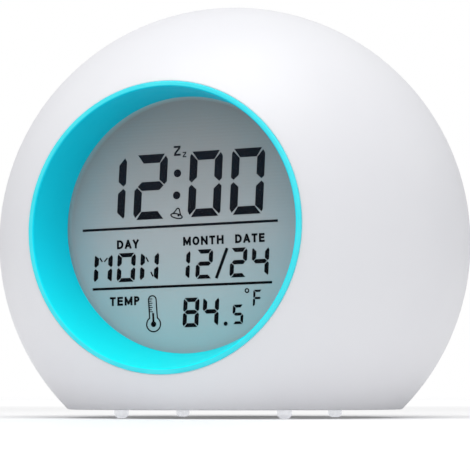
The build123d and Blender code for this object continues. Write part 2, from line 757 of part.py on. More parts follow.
def make_battery_box():
    """Tray behind the door, open to the rear, with a screw lug at each end."""
    outer_size = (box_length + 2 * BOX_WALL, box_height + 2 * BOX_WALL, BOX_CORNER)
    inner_size = (box_length, box_height, BOX_CORNER - BOX_WALL)
    box = rounded_plate(*outer_size, (box_front, cover_front), door_middle_z)
    box -= rounded_plate(*inner_size, (box_floor, cover_front), door_middle_z)
    for side in (-1, 1):
        lug = rod_y(LUG_RADIUS, (lug_front, lug_back), lug_x, 0)
        lug += block((box_length / 2 + BOX_WALL / 2, lug_x), (lug_front, lug_back), (-LUG_RADIUS, LUG_RADIUS))
        lug -= rod_y(SCREW_RADIUS + HOLE_CLEARANCE, (lug_front, lug_back), lug_x, 0)
        box += Pos(0, 0, door_middle_z) * (lug if side > 0 else mirror(lug, Plane.YZ))
    return box


def make_box_screws():
    length = cover_front - lug_front - HEAD_SINK
    return group(screw_backward(length, x, lug_front, door_middle_z) for x in (-lug_x, lug_x))


def make_cell(z, nub_side):
    """Round cell lying along X with its nub towards one end."""
    half = cell_reach / 2
    cell = rod_x(CELL_RADIUS, (-half, half - NUB_LENGTH), 0, 0)
    cell += rod_x(NUB_RADIUS, (half - NUB_LENGTH, half), 0, 0)
    turn = 0 if nub_side > 0 else 180
    return Pos(0, cell_y, z) * Rot(0, 0, turn) * cell


def make_contact_plates():
    """Sprung end plates: each links neighbouring cells or leads off to the board."""
    heights = cell_heights()
    half = PLATE_WIDTH / 2
    wall = box_length / 2
    y_range = (cell_y - half, cell_y + half)
    links = ((-1, heights[:1]), (-1, heights[1:]), (1, heights[:2]), (1, heights[2:]))
    plates = []
    for side, cells in links:
        z_range = (cells[0] - half, cells[-1] + half)
        plate = block((wall - PLATE_THICKNESS, wall), y_range, z_range)
        leaf_span = (wall - PLATE_THICKNESS - LEAF_THICKNESS, wall - PLATE_THICKNESS)
        for z in cells:
            plate += rod_x(LEAF_RADIUS, leaf_span, cell_y, z)
        plates.append(plate if side > 0 else mirror(plate, Plane.YZ))
    return group(plates)


def glow_post_places():
    return [(x, glow_board_y + y) for x, y in (around(GLOW_POST_CIRCLE, a) for a in CARRIER_ANGLES)]


def grille_places():
    """Sound holes in rings round the middle of the speaker."""
    places = [(0.0, 0.0)]
    for ring in range(1, GRILLE_RINGS + 1):
        count = 6 * ring
        places += [around(ring * GRILLE_PITCH, step * 360 / count) for step in range(count)]
    return [(x, speaker_y + y) for x, y in places]


def make_base_plate():
    """Round plate in the underside with sound holes and posts for the light board."""
    plate = rod_z(base_radius, (base_bottom, base_top))
    holes = [rod_z(GRILLE_HOLE_RADIUS, (base_bottom, base_top), x, y) for x, y in grille_places()]
    head_seat = base_bottom + SCREW_HEAD_HEIGHT + HEAD_SINK
    for x, y in base_screw_places():
        holes.append(rod_z(SCREW_RADIUS + HOLE_CLEARANCE, (base_bottom, base_top), x, y))
        holes.append(rod_z(SCREW_HEAD_RADIUS + HOLE_CLEARANCE, (base_bottom, head_seat), x, y))
    plate -= holes
    pin_radius = GLOW_PIN_RADIUS - THREAD_CLEARANCE
    for x, y in glow_post_places():
        plate += rod_z(GLOW_POST_RADIUS, (base_top, glow_board_bottom), x, y)
        plate += rod_z(pin_radius, (glow_board_bottom, glow_board_top + GLOW_PIN_TOP), x, y)
    return plate


def make_base_screws():
    seat = base_bottom + SCREW_HEAD_HEIGHT + HEAD_SINK
    length = base_top - seat + BOSS_LENGTH - HEAD_SINK
    return group(screw_upward(length, x, y, seat) for x, y in base_screw_places())


def make_foot(x, y):
    """Clear domed nub with a flat sole."""
    foot = rod_z(FOOT_RADIUS, (base_bottom - FOOT_HEIGHT, base_bottom), x, y)
    return fillet(foot.edges().group_by(Axis.Z)[0], FOOT_ROUND)


def make_glow_board():
    span = (glow_board_bottom, glow_board_top)
    board = rod_z(GLOW_BOARD_RADIUS, span, 0, glow_board_y)
    for x, y in glow_post_places():
        board -= rod_z(GLOW_PIN_RADIUS, span, x, y)
    return board


def make_glow_leds():
    half = GLOW_LED_SIZE / 2
    span = (glow_board_top, glow_board_top + LED_HEIGHT)
    places = [around(GLOW_LED_CIRCLE, angle) for angle in (0, 180)]
    return group(
        block((x - half, x + half), (glow_board_y + y - half, glow_board_y + y + half), span)
        for x, y in places
    )


def make_speaker_frame():
    """Pressed basket: flat rim on the base plate, sloping sides and a flat back."""
    rim_top = base_top + SPEAKER_RIM_HEIGHT
    inside = SPEAKER_RADIUS - SPEAKER_RIM_WIDTH
    frame = turned(
        [
            (inside, base_top),
            (SPEAKER_RADIUS, base_top),
            (SPEAKER_RADIUS, rim_top),
            (basket_back_radius, speaker_back),
            (0, speaker_back),
            (0, speaker_back - SPEAKER_SHEET),
            (basket_back_radius - SPEAKER_SHEET, speaker_back - SPEAKER_SHEET),
            (inside, rim_top - SPEAKER_SHEET),
        ]
    )
    return Pos(0, speaker_y, 0) * frame


def make_speaker_cone():
    """Paper cone, edge held in the basket rim, apex towards the magnet."""
    edge = SPEAKER_RADIUS - SPEAKER_RIM_WIDTH - THREAD_CLEARANCE
    mouth = base_top + CONE_SHEET
    cone = turned(
        [
            (edge, mouth),
            (edge, mouth + CONE_SHEET),
            (edge - SPEAKER_RIM_WIDTH, mouth + CONE_SHEET),
            (CONE_APEX_RADIUS, mouth + CONE_DEPTH),
            (0, mouth + CONE_DEPTH),
            (0, mouth + CONE_DEPTH - CONE_SHEET),
            (CONE_APEX_RADIUS - CONE_SHEET, mouth + CONE_DEPTH - CONE_SHEET),
            (edge - SPEAKER_RIM_WIDTH - CONE_SHEET, mouth),
        ]
    )
    return Pos(0, speaker_y, 0) * cone


def make_speaker_magnet():
    return rod_z(MAGNET_RADIUS, (speaker_back, speaker_back + MAGNET_HEIGHT), 0, speaker_y)


def lead(*points):
    """Round wire through the points, with every bend as wide as its runs allow."""
    corners = [Vector(*point) for point in points]
    radii = []
    for before, corner, after in zip(corners, corners[1:], corners[2:]):
        run_in = corner - before
        run_out = after - corner
        shorter = min(run_in.length, run_out.length)
        radii.append(LEAD_BEND_SHARE * shorter / tan(radians(run_in.get_angle(run_out) / 2)))
    path = FilletPolyline(*corners, radius=radii)
    section = Plane(origin=path @ 0, z_dir=path % 0) * Circle(LEAD_RADIUS)
    return sweep(section, path)


def lead_row(count, middle=0.0):
    """Places of wires side by side."""
    return [middle + (index - (count - 1) / 2) * LEAD_SPACING for index in range(count)]


def snooze_lead_places():
    outer = lead_row(4)
    return [outer[0], outer[-1]]


def make_battery_leads():
    """Pair from the front of the battery box to the upper socket."""
    turn_y = socket_back + LEAD_RUN
    return group(
        lead(
            (x, box_front, BATTERY_LEAD_HEIGHT),
            (x, box_front - LEAD_RUN, BATTERY_LEAD_HEIGHT),
            (x, turn_y, socket_offset),
            (x, socket_back, socket_offset),
        )
        for x in lead_row(2)
    )


def make_snooze_leads():
    """Pair from under the snooze board to the upper socket, outside the battery pair."""
    return group(
        lead(
            (x, SNOOZE_LEAD_Y, carrier_top),
            (x, SNOOZE_LEAD_Y, carrier_bottom - LEAD_RUN),
            (x, socket_back + LEAD_RUN, socket_offset),
            (x, socket_back, socket_offset),
        )
        for x in snooze_lead_places()
    )


def make_speaker_leads():
    """Pair from the back of the speaker basket to the lower socket."""
    return group(
        lead(
            (x, speaker_lead_y, speaker_back),
            (x, speaker_lead_y, speaker_back + LEAD_RUN),
            (x, socket_back + LEAD_RUN, -socket_offset),
            (x, socket_back, -socket_offset),
        )
        for x in lead_row(2)
    )


def make_glow_leads():
    """Pair from the light board to the right-hand socket."""
    return group(
        lead(
            (GLOW_LEAD_X, y, glow_board_top),
            (GLOW_LEAD_X, y, glow_board_top + LEAD_RUN),
            (x, socket_back + LEAD_RUN, 0),
            (x, socket_back, 0),
        )
        for x, y in zip(lead_row(2, side_socket_offset), lead_row(2, glow_board_y - LEAD_SPACING)[::-1])
    )


def make_key_leads():
    """Wires from the key board to the left-hand socket."""
    return group(
        lead(
            (key_x, key_board_front, key_row_height),
            (key_x, key_board_front - LEAD_RUN, key_row_height),
            (socket_x, socket_back + LEAD_RUN, 0),
            (socket_x, socket_back, 0),
        )
        for key_x, socket_x in zip(
            lead_row(KEY_LEAD_COUNT, KEY_LEAD_X), lead_row(KEY_LEAD_COUNT, -side_socket_offset)
        )
    )


def make_pieces():
    """Every piece of the clock by name, about the ball centre."""
    pieces = {
        "ball_shell": make_ball_shell(),
        "bezel_ring": make_bezel_ring(),
        "display_lens": make_display_lens(),
        "lcd_panel": make_lcd_panel(),
        "light_guide": make_light_guide(),
        "display_holder": make_display_holder(),
        "contact_strip": make_contact_strip(),
        "display_screws": make_display_screws(),
        "main_board": make_main_board(),
        "board_screws": make_board_screws(),
        "backlight_leds": make_backlight_leds(),
        "controller_chip": make_controller_chip(),
        "crystal": make_crystal(),
        "capacitor": make_capacitor(),
        "temperature_sensor": make_temperature_sensor(),
        "lead_sockets": make_lead_sockets(),
        "snooze_button": make_snooze_button(),
        "snooze_carrier": make_snooze_carrier(),
        "carrier_screws": make_carrier_screws(),
        "snooze_board": make_snooze_board(),
        "snooze_switch": make_snooze_switch(),
        "back_cover": make_back_cover(),
        "cover_screws": make_cover_screws(),
        "battery_door": make_battery_door(),
        "key_board": make_key_board(),
        "key_board_screws": make_key_board_screws(),
        "key_switches": make_key_switches(),
        "battery_box": make_battery_box(),
        "box_screws": make_box_screws(),
        "contact_plates": make_contact_plates(),
        "base_plate": make_base_plate(),
        "base_screws": make_base_screws(),
        "glow_board": make_glow_board(),
        "glow_leds": make_glow_leds(),
        "speaker_frame": make_speaker_frame(),
        "speaker_cone": make_speaker_cone(),
        "speaker_magnet": make_speaker_magnet(),
        "battery_leads": make_battery_leads(),
        "snooze_leads": make_snooze_leads(),
        "speaker_leads": make_speaker_leads(),
        "glow_leads": make_glow_leads(),
        "key_leads": make_key_leads(),
    }
    for name, x in zip(KEY_NAMES, key_places()):
        pieces[name] = make_key(x)
    nub_side = 1
    for place, z in zip(CELL_PLACES, cell_heights()):
        pieces[f"cell_{place}"] = make_cell(z, nub_side)
        nub_side = -nub_side
    for name, (x, y) in foot_places().items():
        pieces[name] = make_foot(x, y)
    return pieces


def write_pieces():
    """Lift every piece onto its feet and write it to its own file."""
    os.makedirs("parts", exist_ok=True)
    for name, piece in make_pieces().items():
        placed = Pos(0, ball_shift, ball_height) * piece
        placed.label = name
        export_step(placed, f"parts/{name}.step")


write_pieces()
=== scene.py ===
import math

import bmesh
import bpy
from mathutils import Matrix, Vector


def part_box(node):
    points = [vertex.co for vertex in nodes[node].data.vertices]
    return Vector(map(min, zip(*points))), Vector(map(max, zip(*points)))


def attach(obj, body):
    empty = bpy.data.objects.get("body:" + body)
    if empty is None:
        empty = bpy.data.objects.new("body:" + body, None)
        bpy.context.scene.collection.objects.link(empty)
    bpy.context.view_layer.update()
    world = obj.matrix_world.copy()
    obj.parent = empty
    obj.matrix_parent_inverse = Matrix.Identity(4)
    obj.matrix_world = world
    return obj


# Looks of the ball-shaped alarm clock. Lengths of the camera, the light and the floor are in metres; the
# others are in millimetres and are scaled by MM where they are used.
MM = 0.001

# Camera: low in front of the clock and a little to its right, looking slightly up
PICTURE_PIXELS = 470
FOCAL_PIXELS = 1876.25
SENSOR_WIDTH = 36.0
CAMERA_AZIMUTH = math.radians(20.22)
CAMERA_PITCH = math.radians(4.96)
CAMERA_DISTANCE = 0.400  # level distance from the ball centre
CAMERA_DROP = 0.03298  # below the ball centre
NEAREST_SEEN = 0.01

# Light
SKY_STRENGTH = 0.58
LAMP_ABOVE = dict(place=(0.06, -0.22, 0.85), size=0.7, power=4.55)
LAMP_FRONT = dict(place=(0.08, -0.70, 0.62), size=0.6, power=0.75)
FLOOR_RADIUS = 6.0
FLOOR_GLOW = (0.09, 0.46)  # near the clock and far from it
FLOOR_FADE = (0.2, 0.9)  # distances between which the glow grows

# Patterns in the materials
CLOUD_RANGE = (0.3, 0.7)  # values that most of a cloudy pattern lies between
TONE_STOPS = (0.35, 0.65)  # values at which it is all dark and all light
GLOSS_SHARE = 3  # the clouds of the gloss are smaller than those of the tone by this factor
RULING_SCALE = 450.0  # electrodes of the panel; this and the next scales are per metre
LAYER_SCALE = 700.0  # conducting layers of the rubber strip
TRACK_SCALE = 260.0  # copper tracks of the boards
TRACK_PATCH_SCALE = 170.0  # patches in which the tracks run one way

# Bezel and panel
LIP_HIGHLIGHT_RADII = (27.5, 27.7)  # about the ball centre, between which the wall of the bezel turns into its lip, painted paler as a highlight
SEAL_RADII = (28.5, 28.65)  # soft white seal between the bezel and the ball, which lightens the shade line of the gap
SEAL_DEPTHS = (0.05, 0.6)  # behind the edge of the ball
WINDOW_RISE = 1.5  # window centre above the ball centre
RIM_PAINTED_TEAL_LIGHT_RADII = (25.1, 26.2)  # about the window centre, between which the panel takes painted teal light from the bezel
FILM_DEPTH = 0.02  # polarising film on the front of the panel
FILM_MARGIN = 0.3  # edge of the panel in to the edge of the film

# Sleeves of the cells, in shares of their length from the flat end
SLEEVE_START = 0.012
STRIPE_START = 0.60
STRIPE_END = 0.625
BARE_NUB_END = 1.3  # bare metal at the nub end, in millimetres

# Side of each cell that its nub is on: 1 is to the right as seen from the front
NUB_SIDES = {"cell_bottom": 1, "cell_middle": -1, "cell_top": 1}

# Bars of the digits: bar widths are those of the side bars of the digit
BAR_SLANT = 0.066  # sideways lean of the digits per unit of height
MIDDLE_SHARE = 0.512  # height of the middle of a digit, in heights
MIDDLE_GAP = 0.27  # between the side bars that meet there, in bar widths
POINT_SHARE = 0.33  # tip of a pointed bar end from its outer edge, in bar widths
POINT_RISE = 0.6  # and its inner edge from the tip, in bar widths
APEX_FALL = 0.26  # upper tip of a side bar below the top of the digit, in bar widths

# Cut corners of a digit, in bar widths: end of the level bar in from the side, tip of the side bar in from
# the side, and length of its cut edge. The lean makes the upper right and lower left corners sharp.
SHARP_CORNER = dict(tip=0.45, apex=0.28, cut=0.47)
BLUNT_CORNER = dict(tip=0.25, apex=0.16, cut=0.25)

# Digits and letters: bar is the width of the side bars, upper and lower those of the level bars
TIME_DIGIT = dict(width=7.0, height=13.17, bar=1.65, upper=1.77, lower=1.62, gap=0.14)
DATE_DIGIT = dict(width=3.57, height=5.85, bar=0.87, upper=0.84, lower=0.79, gap=0.1)
TEMPERATURE_DIGIT = dict(DATE_DIGIT, width=3.4)
LETTER = dict(DATE_DIGIT, width=4.0, bar=0.95)
TENTH_DIGIT = dict(width=2.28, height=3.85, bar=0.58, upper=0.58, lower=0.54, gap=0.1)
UNIT_LETTER = dict(width=1.85, height=3.35, bar=0.45, upper=0.43, lower=0.4, gap=0.1)
BARS = {
    "0": "abcdef", "1": "bc", "2": "abged", "4": "fgbc", "5": "afgcd", "8": "abcdefg",
    "F": "aefg", "M": "bcef", "O": "abcdef", "N": "bcef",
}

# Display layout, from the centre of the window: x to the right, z up
DISPLAY_ROLL = math.radians(1.0)
INK_DEPTH = 0.04
THIN_LINE = 0.25
MITRE_LIMIT = 0.45  # keeps the corners of a line from growing long
TIME_BOTTOM = 1.5
HOUR_LEFT = -20.62
MINUTE_LEFT = 0.16
TIME_PITCH = 8.95
COLON_PLACES = ((-1.85, 10.5), (-2.1, 6.06))
COLON_RADIUS = 0.79
BELL_PLACE = (-2.18, 1.89)  # middle of its mouth
BELL_LEAN = -14.5  # degrees
BELL_REACH = 1.25  # half the width of its mouth; the next four are in reaches
BELL_MOUTH = 0.36  # half the height of the mouth
BELL_SHOULDER = (0.66, 0.27)  # foot of the dome: half its width, and its height
BELL_CROWN = (0.98, 0.28)  # height and radius of the top of the dome
BELL_CLAPPER = (0.3, 0.14, 0.17)  # x, z and radius
SNORE_SIGNS = ((-1.84, 15.05, 1.45, 2.0), (-0.27, 14.2, 0.76, 1.08))  # x, z, width and height
SNORE_BOLD = 0.2  # width of their lines, in heights
RULES = ((-22.87, 19.26, -0.1, 0.5), (-20.76, 17.84, -12.18, 0.5))  # left, right, z and width
LABELS = (  # word, x and z of its middle, width and height
    ("DAY", -12.87, -3.33, 4.8, 1.8),
    ("MONTH", 3.49, -3.29, 8.65, 1.77),
    ("DATE", 13.34, -3.29, 6.19, 1.77),
    ("TEMP", -13.72, -14.8, 6.5, 1.79),
)
DATE_BOTTOM = -10.93
WEEKDAY_LEFT = -20.55
WEEKDAY_PITCH = 5.08
SLOPE_LINE = 0.28
WEEKDAY_SLOPES = {  # slanting lines of the first and third letters, in shares of the letter's box
    0: (((0.28, 0.87), (0.43, 0.73)), ((0.70, 0.86), (0.54, 0.73))),
    2: (((0.29, 0.82), (0.43, 0.66)), ((0.59, 0.31), (0.72, 0.15))),
}
MONTH_LEFT = -3.2
MONTH_PITCH = 4.85
DAY_LEFT = 8.9
DATE_PITCH = 4.58
SLASH_MIDDLE = (7.33, -8.0)
SLASH_SIZE = (2.4, 5.9)
SLASH_WIDTH = 0.62
TEMPERATURE_LEFT = -1.25
TEMPERATURE_BOTTOM = -20.48
TEMPERATURE_PITCH = 4.2
POINT_PLACE = (7.97, -20.02)
POINT_RADIUS = 0.42
TENTH_LEFT = 9.32
TENTH_RISE = 0.3  # foot of the tenths above that of the other digits
DEGREE_PLACE = (12.56, -13.64)
DEGREE_RADIUS = 0.36
UNIT_LEFT = 13.7
UNIT_BOTTOM = -16.9
THERMOMETER_PLACE = (-7.45, -19.65)  # middle of the bulb
BULB_RADIUS = 1.5
BULB_FILL = 0.57  # radius of the dark middle of the bulb
TUBE_RADIUS = 0.83
TUBE_TOP = 5.72  # above the middle of the bulb
TUBE_SHIFT = -0.22  # sideways lean of the tube at its top
COLUMN_WIDTH = 0.42
COLUMN_TOP = 2.25
TICK_COUNT = 7
TICK_START = 2.5
TICK_PITCH = 0.43
TICK_LENGTHS = (0.8, 0.6)  # long and short ticks in turn
TICK_LINE = 0.18
LABEL_LINE = 0.43
LABEL_SPACE = 0.78  # between the letters of a label, before it is fitted to its width
LABEL_WIDTHS = {  # of the letters, between the middles of their lines
    "A": 1.09, "D": 1.05, "E": 0.8, "H": 1.05, "M": 1.27,
    "N": 1.05, "O": 1.09, "P": 0.74, "T": 0.86, "Y": 0.94,
}

# Marks printed on the rear keys
PRINT_DEPTH = 0.02
PRINT_LINE = 0.24
PRINT_REACH = 1.15  # from the middle of the key
PRINT_HANDS = (0.7, 0.5)  # of the clock sign, in reaches
PRINT_DOT = 0.45  # in reaches
PRINT_BELL_CROWN = (0.45, 0.62)  # height and radius of its top
PRINT_BELL_NECK = -0.25
PRINT_BELL_RIM = -0.62
PRINT_BELL_CLAPPER = (0.0, -0.98, 0.26)  # x, z and radius

# Raised arrow on the battery door and the cell diagram printed inside it
ARROW_RISE = 0.2
ARROW_SIZE = (4.0, 3.0)
ARROW_DROP = 8.0  # from the top of the door
DIAGRAM_CELL = (27.0, 5.4)
DIAGRAM_NUB = (0.9, 2.2)
DIAGRAM_LINE = 0.3
SIGN_SIZE = 2.0  # plus and minus signs
SIGN_INSET = 3.0  # from the ends of the cells

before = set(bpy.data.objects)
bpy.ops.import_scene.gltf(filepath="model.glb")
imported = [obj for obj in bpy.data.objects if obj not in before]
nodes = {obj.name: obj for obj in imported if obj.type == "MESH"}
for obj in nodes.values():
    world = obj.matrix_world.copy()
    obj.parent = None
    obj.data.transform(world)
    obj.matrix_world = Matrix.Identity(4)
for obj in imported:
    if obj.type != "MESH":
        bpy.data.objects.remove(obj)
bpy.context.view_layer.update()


def middle_of(node):
    """Middle of the box round a piece."""
    low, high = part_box(node)
    return (low + high) / 2


ball_centre = Vector((0.0, middle_of("snooze_button").y, middle_of("display_lens").z))
window_height = ball_centre.z + WINDOW_RISE * MM
display_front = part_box("lcd_panel")[0].y


# Shader helpers

def new_material(name):
    """Fresh node material with its principled shader."""
    material = bpy.data.materials.new(name)
    material.use_nodes = True
    return material, material.node_tree, material.node_tree.nodes["Principled BSDF"]


def add_node(tree, kind, links=(), **values):
    """Shader node with its settings and the links into its sockets."""
    node = tree.nodes.new(kind)
    for name, value in values.items():
        setattr(node, name, value)
    for socket, source in links:
        tree.links.new(source, node.inputs[socket])
    return node


def place_output(tree):
    """Coordinates that stay with the piece, in metres."""
    return add_node(tree, "ShaderNodeTexCoord").outputs["Object"]


def noise(tree, size, detail=3.0):
    """Cloudy pattern whose patches are about that size, in millimetres."""
    node = add_node(tree, "ShaderNodeTexNoise", [("Vector", place_output(tree))])
    node.inputs["Scale"].default_value = 1.0 / (size * MM)
    node.inputs["Detail"].default_value = detail
    return node.outputs["Fac"]


def ramp(tree, factor, stops, interpolation="LINEAR"):
    """Colour ramp through stops of position and colour."""
    node = add_node(tree, "ShaderNodeValToRGB", [("Fac", factor)])
    elements = node.color_ramp.elements
    node.color_ramp.interpolation = interpolation
    while len(elements) < len(stops):
        elements.new(1.0)
    for element, (position, colour) in zip(elements, stops):
        element.position = position
        element.color = (*colour, 1.0)
    return node.outputs["Color"]


def stripes(tree, vector, direction, scale, distortion=0.0):
    """Soft bands that follow each other along an axis."""
    node = add_node(tree, "ShaderNodeTexWave", [("Vector", vector)], bands_direction=direction)
    node.inputs["Scale"].default_value = scale
    node.inputs["Distortion"].default_value = distortion
    return node.outputs["Fac"]


def carried_over(tree, value, source, target=(0.0, 1.0), **settings):
    """Value between the limits of one range brought to the other range."""
    node = add_node(tree, "ShaderNodeMapRange", [("Value", value)], **settings)
    limits = zip(("From Min", "From Max", "To Min", "To Max"), (*source, *target))
    for socket, limit in limits:
        node.inputs[socket].default_value = limit
    return node.outputs["Result"]


def uneven_gloss(tree, shader, clouds, low, high):
    """Roughness that wanders between two values with a cloudy pattern."""
    tree.links.new(carried_over(tree, clouds, CLOUD_RANGE, (low, high)), shader.inputs["Roughness"])


def bump(tree, shader, height, depth):
    """Relief of that depth, in millimetres."""
    node = add_node(tree, "ShaderNodeBump", [("Height", height)])
    node.inputs["Distance"].default_value = depth * MM
    tree.links.new(node.outputs["Normal"], shader.inputs["Normal"])


def height_share(tree, node, pattern, amount):
    """Height within a piece from 0 to 1, stirred by a pattern."""
    low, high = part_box(node)
    height = add_node(tree, "ShaderNodeSeparateXYZ", [("Vector", place_output(tree))]).outputs["Z"]
    share = carried_over(tree, height, (low.z, high.z))
    stirred = add_node(tree, "ShaderNodeMath", [(0, pattern), (2, share)], operation="MULTIPLY_ADD")
    stirred.inputs[1].default_value = amount
    return stirred.outputs["Value"]


def ring_share(tree, height, radii):
    """Distance from the level line along Y at that height: 0 up to the first radius, 1 from the second."""
    offset = add_node(tree, "ShaderNodeVectorMath", [(0, place_output(tree))], operation="SUBTRACT")
    offset.inputs[1].default_value = (0.0, 0.0, height)
    flat = add_node(tree, "ShaderNodeVectorMath", [(0, offset.outputs["Vector"])], operation="MULTIPLY")
    flat.inputs[1].default_value = (1.0, 0.0, 1.0)
    length = add_node(tree, "ShaderNodeVectorMath", [(0, flat.outputs["Vector"])], operation="LENGTH")
    return carried_over(tree, length.outputs["Value"], [radius * MM for radius in radii])


def moulded(name, dark, light, rough, grain, depth, patch=14.0, **sockets):
    """Moulded plastic or metal: cloudy tone, uneven gloss and a fine grain.

    Patch and grain are the sizes of the clouds and grains and depth is that of the grains, in millimetres.
    """
    material, tree, shader = new_material(name)
    tone = ramp(tree, noise(tree, patch), list(zip(TONE_STOPS, (dark, light))))
    tree.links.new(tone, shader.inputs["Base Color"])
    uneven_gloss(tree, shader, noise(tree, patch / GLOSS_SHARE), *rough)
    bump(tree, shader, noise(tree, grain, detail=2.0), depth)
    for socket, value in sockets.items():
        shader.inputs[socket.replace("_", " ")].default_value = value
    return material


# Materials by the slot that they finish

def shell_white():
    """Satin white plastic that lets a little light through."""
    return moulded(
        "shell_white", dark=(0.76, 0.763, 0.797), light=(0.78, 0.783, 0.813), rough=(0.42, 0.48),
        grain=0.35, depth=0.004, patch=30.0,
        Subsurface_Weight=0.12, Subsurface_Scale=0.004, Subsurface_Radius=(1.0, 1.0, 1.0),
    )


def bezel_teal():
    """Satin teal moulding whose wall is painted darker toward its top as shade, inside a lip painted paler as
    a highlight.
    """
    material, tree, shader = new_material("bezel_teal")
    clouds = noise(tree, size=6.0)
    height = height_share(tree, "bezel_ring", clouds, amount=0.06)
    # Wall tones from foot to top: painted light on the foot, which faces up, and painted shade at the top,
    # which faces down
    shades = [(0.0, (0.010, 0.97, 1.0)), (0.45, (0.008, 0.80, 0.99)), (1.0, (0.005, 0.52, 0.69))]
    wall = ramp(tree, height, shades)
    # Paler tone of the lip: painted highlight along its crest
    lip = ramp(tree, clouds, list(zip(TONE_STOPS, ((0.06, 0.75, 0.85), (0.08, 0.79, 0.88)))))
    painted_lip_highlight = ring_share(tree, ball_centre.z, LIP_HIGHLIGHT_RADII)
    tone = add_node(tree, "ShaderNodeMixRGB", [("Fac", painted_lip_highlight), ("Color1", wall), ("Color2", lip)])
    tree.links.new(tone.outputs["Color"], shader.inputs["Base Color"])
    uneven_gloss(tree, shader, noise(tree, size=3.0), low=0.36, high=0.42)
    bump(tree, shader, noise(tree, size=0.3, detail=2.0), depth=0.001)
    shader.inputs["Specular IOR Level"].default_value = 0.03
    return material


def lens_clear():
    """Thin clear window."""
    return moulded(
        "lens_clear", dark=(0.80, 0.88, 0.90), light=(0.84, 0.91, 0.93), rough=(0.05, 0.08),
        grain=2.0, depth=0.0002, Alpha=0.005, IOR=1.49,
    )


def lcd_glass():
    """Grey reflective panel with the faint rulings of its electrodes, greener toward its foot and rim as
    painted teal light from the bezel and darker toward its top as painted shade of the recess.
    """
    material, tree, shader = new_material("lcd_glass")
    rulings = stripes(tree, place_output(tree), "Z", RULING_SCALE, distortion=0.4)
    height = height_share(tree, "lcd_panel", rulings, amount=0.03)
    # Tones from foot to top: greener at the foot as painted teal light from the bezel, darker at the top as
    # painted shade of the recess
    shades = [(0.05, (0.40, 0.53, 0.565)), (0.5, (0.43, 0.44, 0.457)), (0.95, (0.295, 0.275, 0.272))]
    grey = ramp(tree, height, shades)
    # Teal tint near the edge of the panel: painted teal light from the bezel
    rim = ring_share(tree, window_height, RIM_PAINTED_TEAL_LIGHT_RADII)
    tone = add_node(tree, "ShaderNodeMixRGB", [("Fac", rim), ("Color1", grey)])
    tone.inputs["Color2"].default_value = (0.42, 0.62, 0.67, 1.0)
    tree.links.new(tone.outputs["Color"], shader.inputs["Base Color"])
    uneven_gloss(tree, shader, noise(tree, size=11.0), low=0.30, high=0.40)
    bump(tree, shader, noise(tree, size=0.2, detail=1.0), depth=0.001)
    return material


def guide_clear():
    """Frosted clear plastic."""
    return moulded(
        "guide_clear", dark=(0.86, 0.90, 0.90), light=(0.90, 0.93, 0.93), rough=(0.30, 0.45),
        grain=0.5, depth=0.01, Transmission_Weight=0.6,
    )


def inner_white():
    """Plain white plastic of the inner pieces."""
    return moulded(
        "inner_white", dark=(0.74, 0.74, 0.73), light=(0.80, 0.80, 0.79), rough=(0.45, 0.6),
        grain=0.4, depth=0.012,
    )


def contact_rubber():
    """Pink rubber with thin black conducting layers along its length."""
    material, tree, shader = new_material("contact_rubber")
    layers = stripes(tree, place_output(tree), "X", LAYER_SCALE)
    tone = ramp(tree, layers, [(0.45, (0.02, 0.02, 0.02)), (0.55, (0.62, 0.33, 0.38))])
    tree.links.new(tone, shader.inputs["Base Color"])
    uneven_gloss(tree, shader, noise(tree, size=1.0), low=0.6, high=0.8)
    bump(tree, shader, layers, depth=0.01)
    return material


def screw_steel():
    """Zinc plated steel."""
    return moulded(
        "screw_steel", dark=(0.56, 0.56, 0.57), light=(0.70, 0.70, 0.70), rough=(0.22, 0.42),
        grain=0.25, depth=0.004, patch=2.0, Metallic=1.0,
    )


def board_green():
    """Green solder mask over copper tracks that run in groups along and across the board."""
    material, tree, shader = new_material("board_green")
    axes = add_node(tree, "ShaderNodeSeparateXYZ", [("Vector", place_output(tree))]).outputs
    across = add_node(tree, "ShaderNodeMath", [(0, axes["Y"]), (1, axes["Z"])], operation="ADD")
    joined = add_node(tree, "ShaderNodeCombineXYZ", [("X", axes["X"]), ("Y", across.outputs["Value"])])
    sheet = joined.outputs["Vector"]
    runs = [stripes(tree, sheet, direction, TRACK_SCALE) for direction in ("X", "Y")]
    patches = add_node(tree, "ShaderNodeTexVoronoi", [("Vector", sheet)], distance="CHEBYCHEV")
    patches.inputs["Scale"].default_value = TRACK_PATCH_SCALE
    turn = add_node(tree, "ShaderNodeSeparateColor", [("Color", patches.outputs["Color"])]).outputs["Red"]
    side = ramp(tree, turn, [(0.0, (0, 0, 0)), (0.5, (1, 1, 1))], "CONSTANT")
    either = add_node(tree, "ShaderNodeMix", [("Factor", side), ("A", runs[0]), ("B", runs[1])])
    tracks = either.outputs["Result"]
    shades = [(0.70, (0.012, 0.14, 0.05)), (0.76, (0.05, 0.28, 0.10))]
    tree.links.new(ramp(tree, tracks, shades), shader.inputs["Base Color"])
    uneven_gloss(tree, shader, noise(tree, size=3.0), low=0.25, high=0.4)
    bump(tree, shader, tracks, depth=0.03)
    shader.inputs["Coat Weight"].default_value = 0.3
    return material


def chip_black():
    """Moulded epoxy."""
    return moulded(
        "chip_black", dark=(0.012, 0.012, 0.013), light=(0.022, 0.022, 0.024), rough=(0.5, 0.65),
        grain=0.12, depth=0.008, patch=3.0,
    )


def can_metal():
    """Drawn metal cans."""
    return moulded(
        "can_metal", dark=(0.62, 0.63, 0.65), light=(0.74, 0.75, 0.77), rough=(0.25, 0.40),
        grain=0.3, depth=0.003, patch=3.0, Metallic=1.0,
    )


def socket_ivory():
    """Ivory plastic of the lead sockets."""
    return moulded(
        "socket_ivory", dark=(0.72, 0.67, 0.54), light=(0.78, 0.74, 0.62), rough=(0.4, 0.55),
        grain=0.3, depth=0.01, patch=4.0,
    )


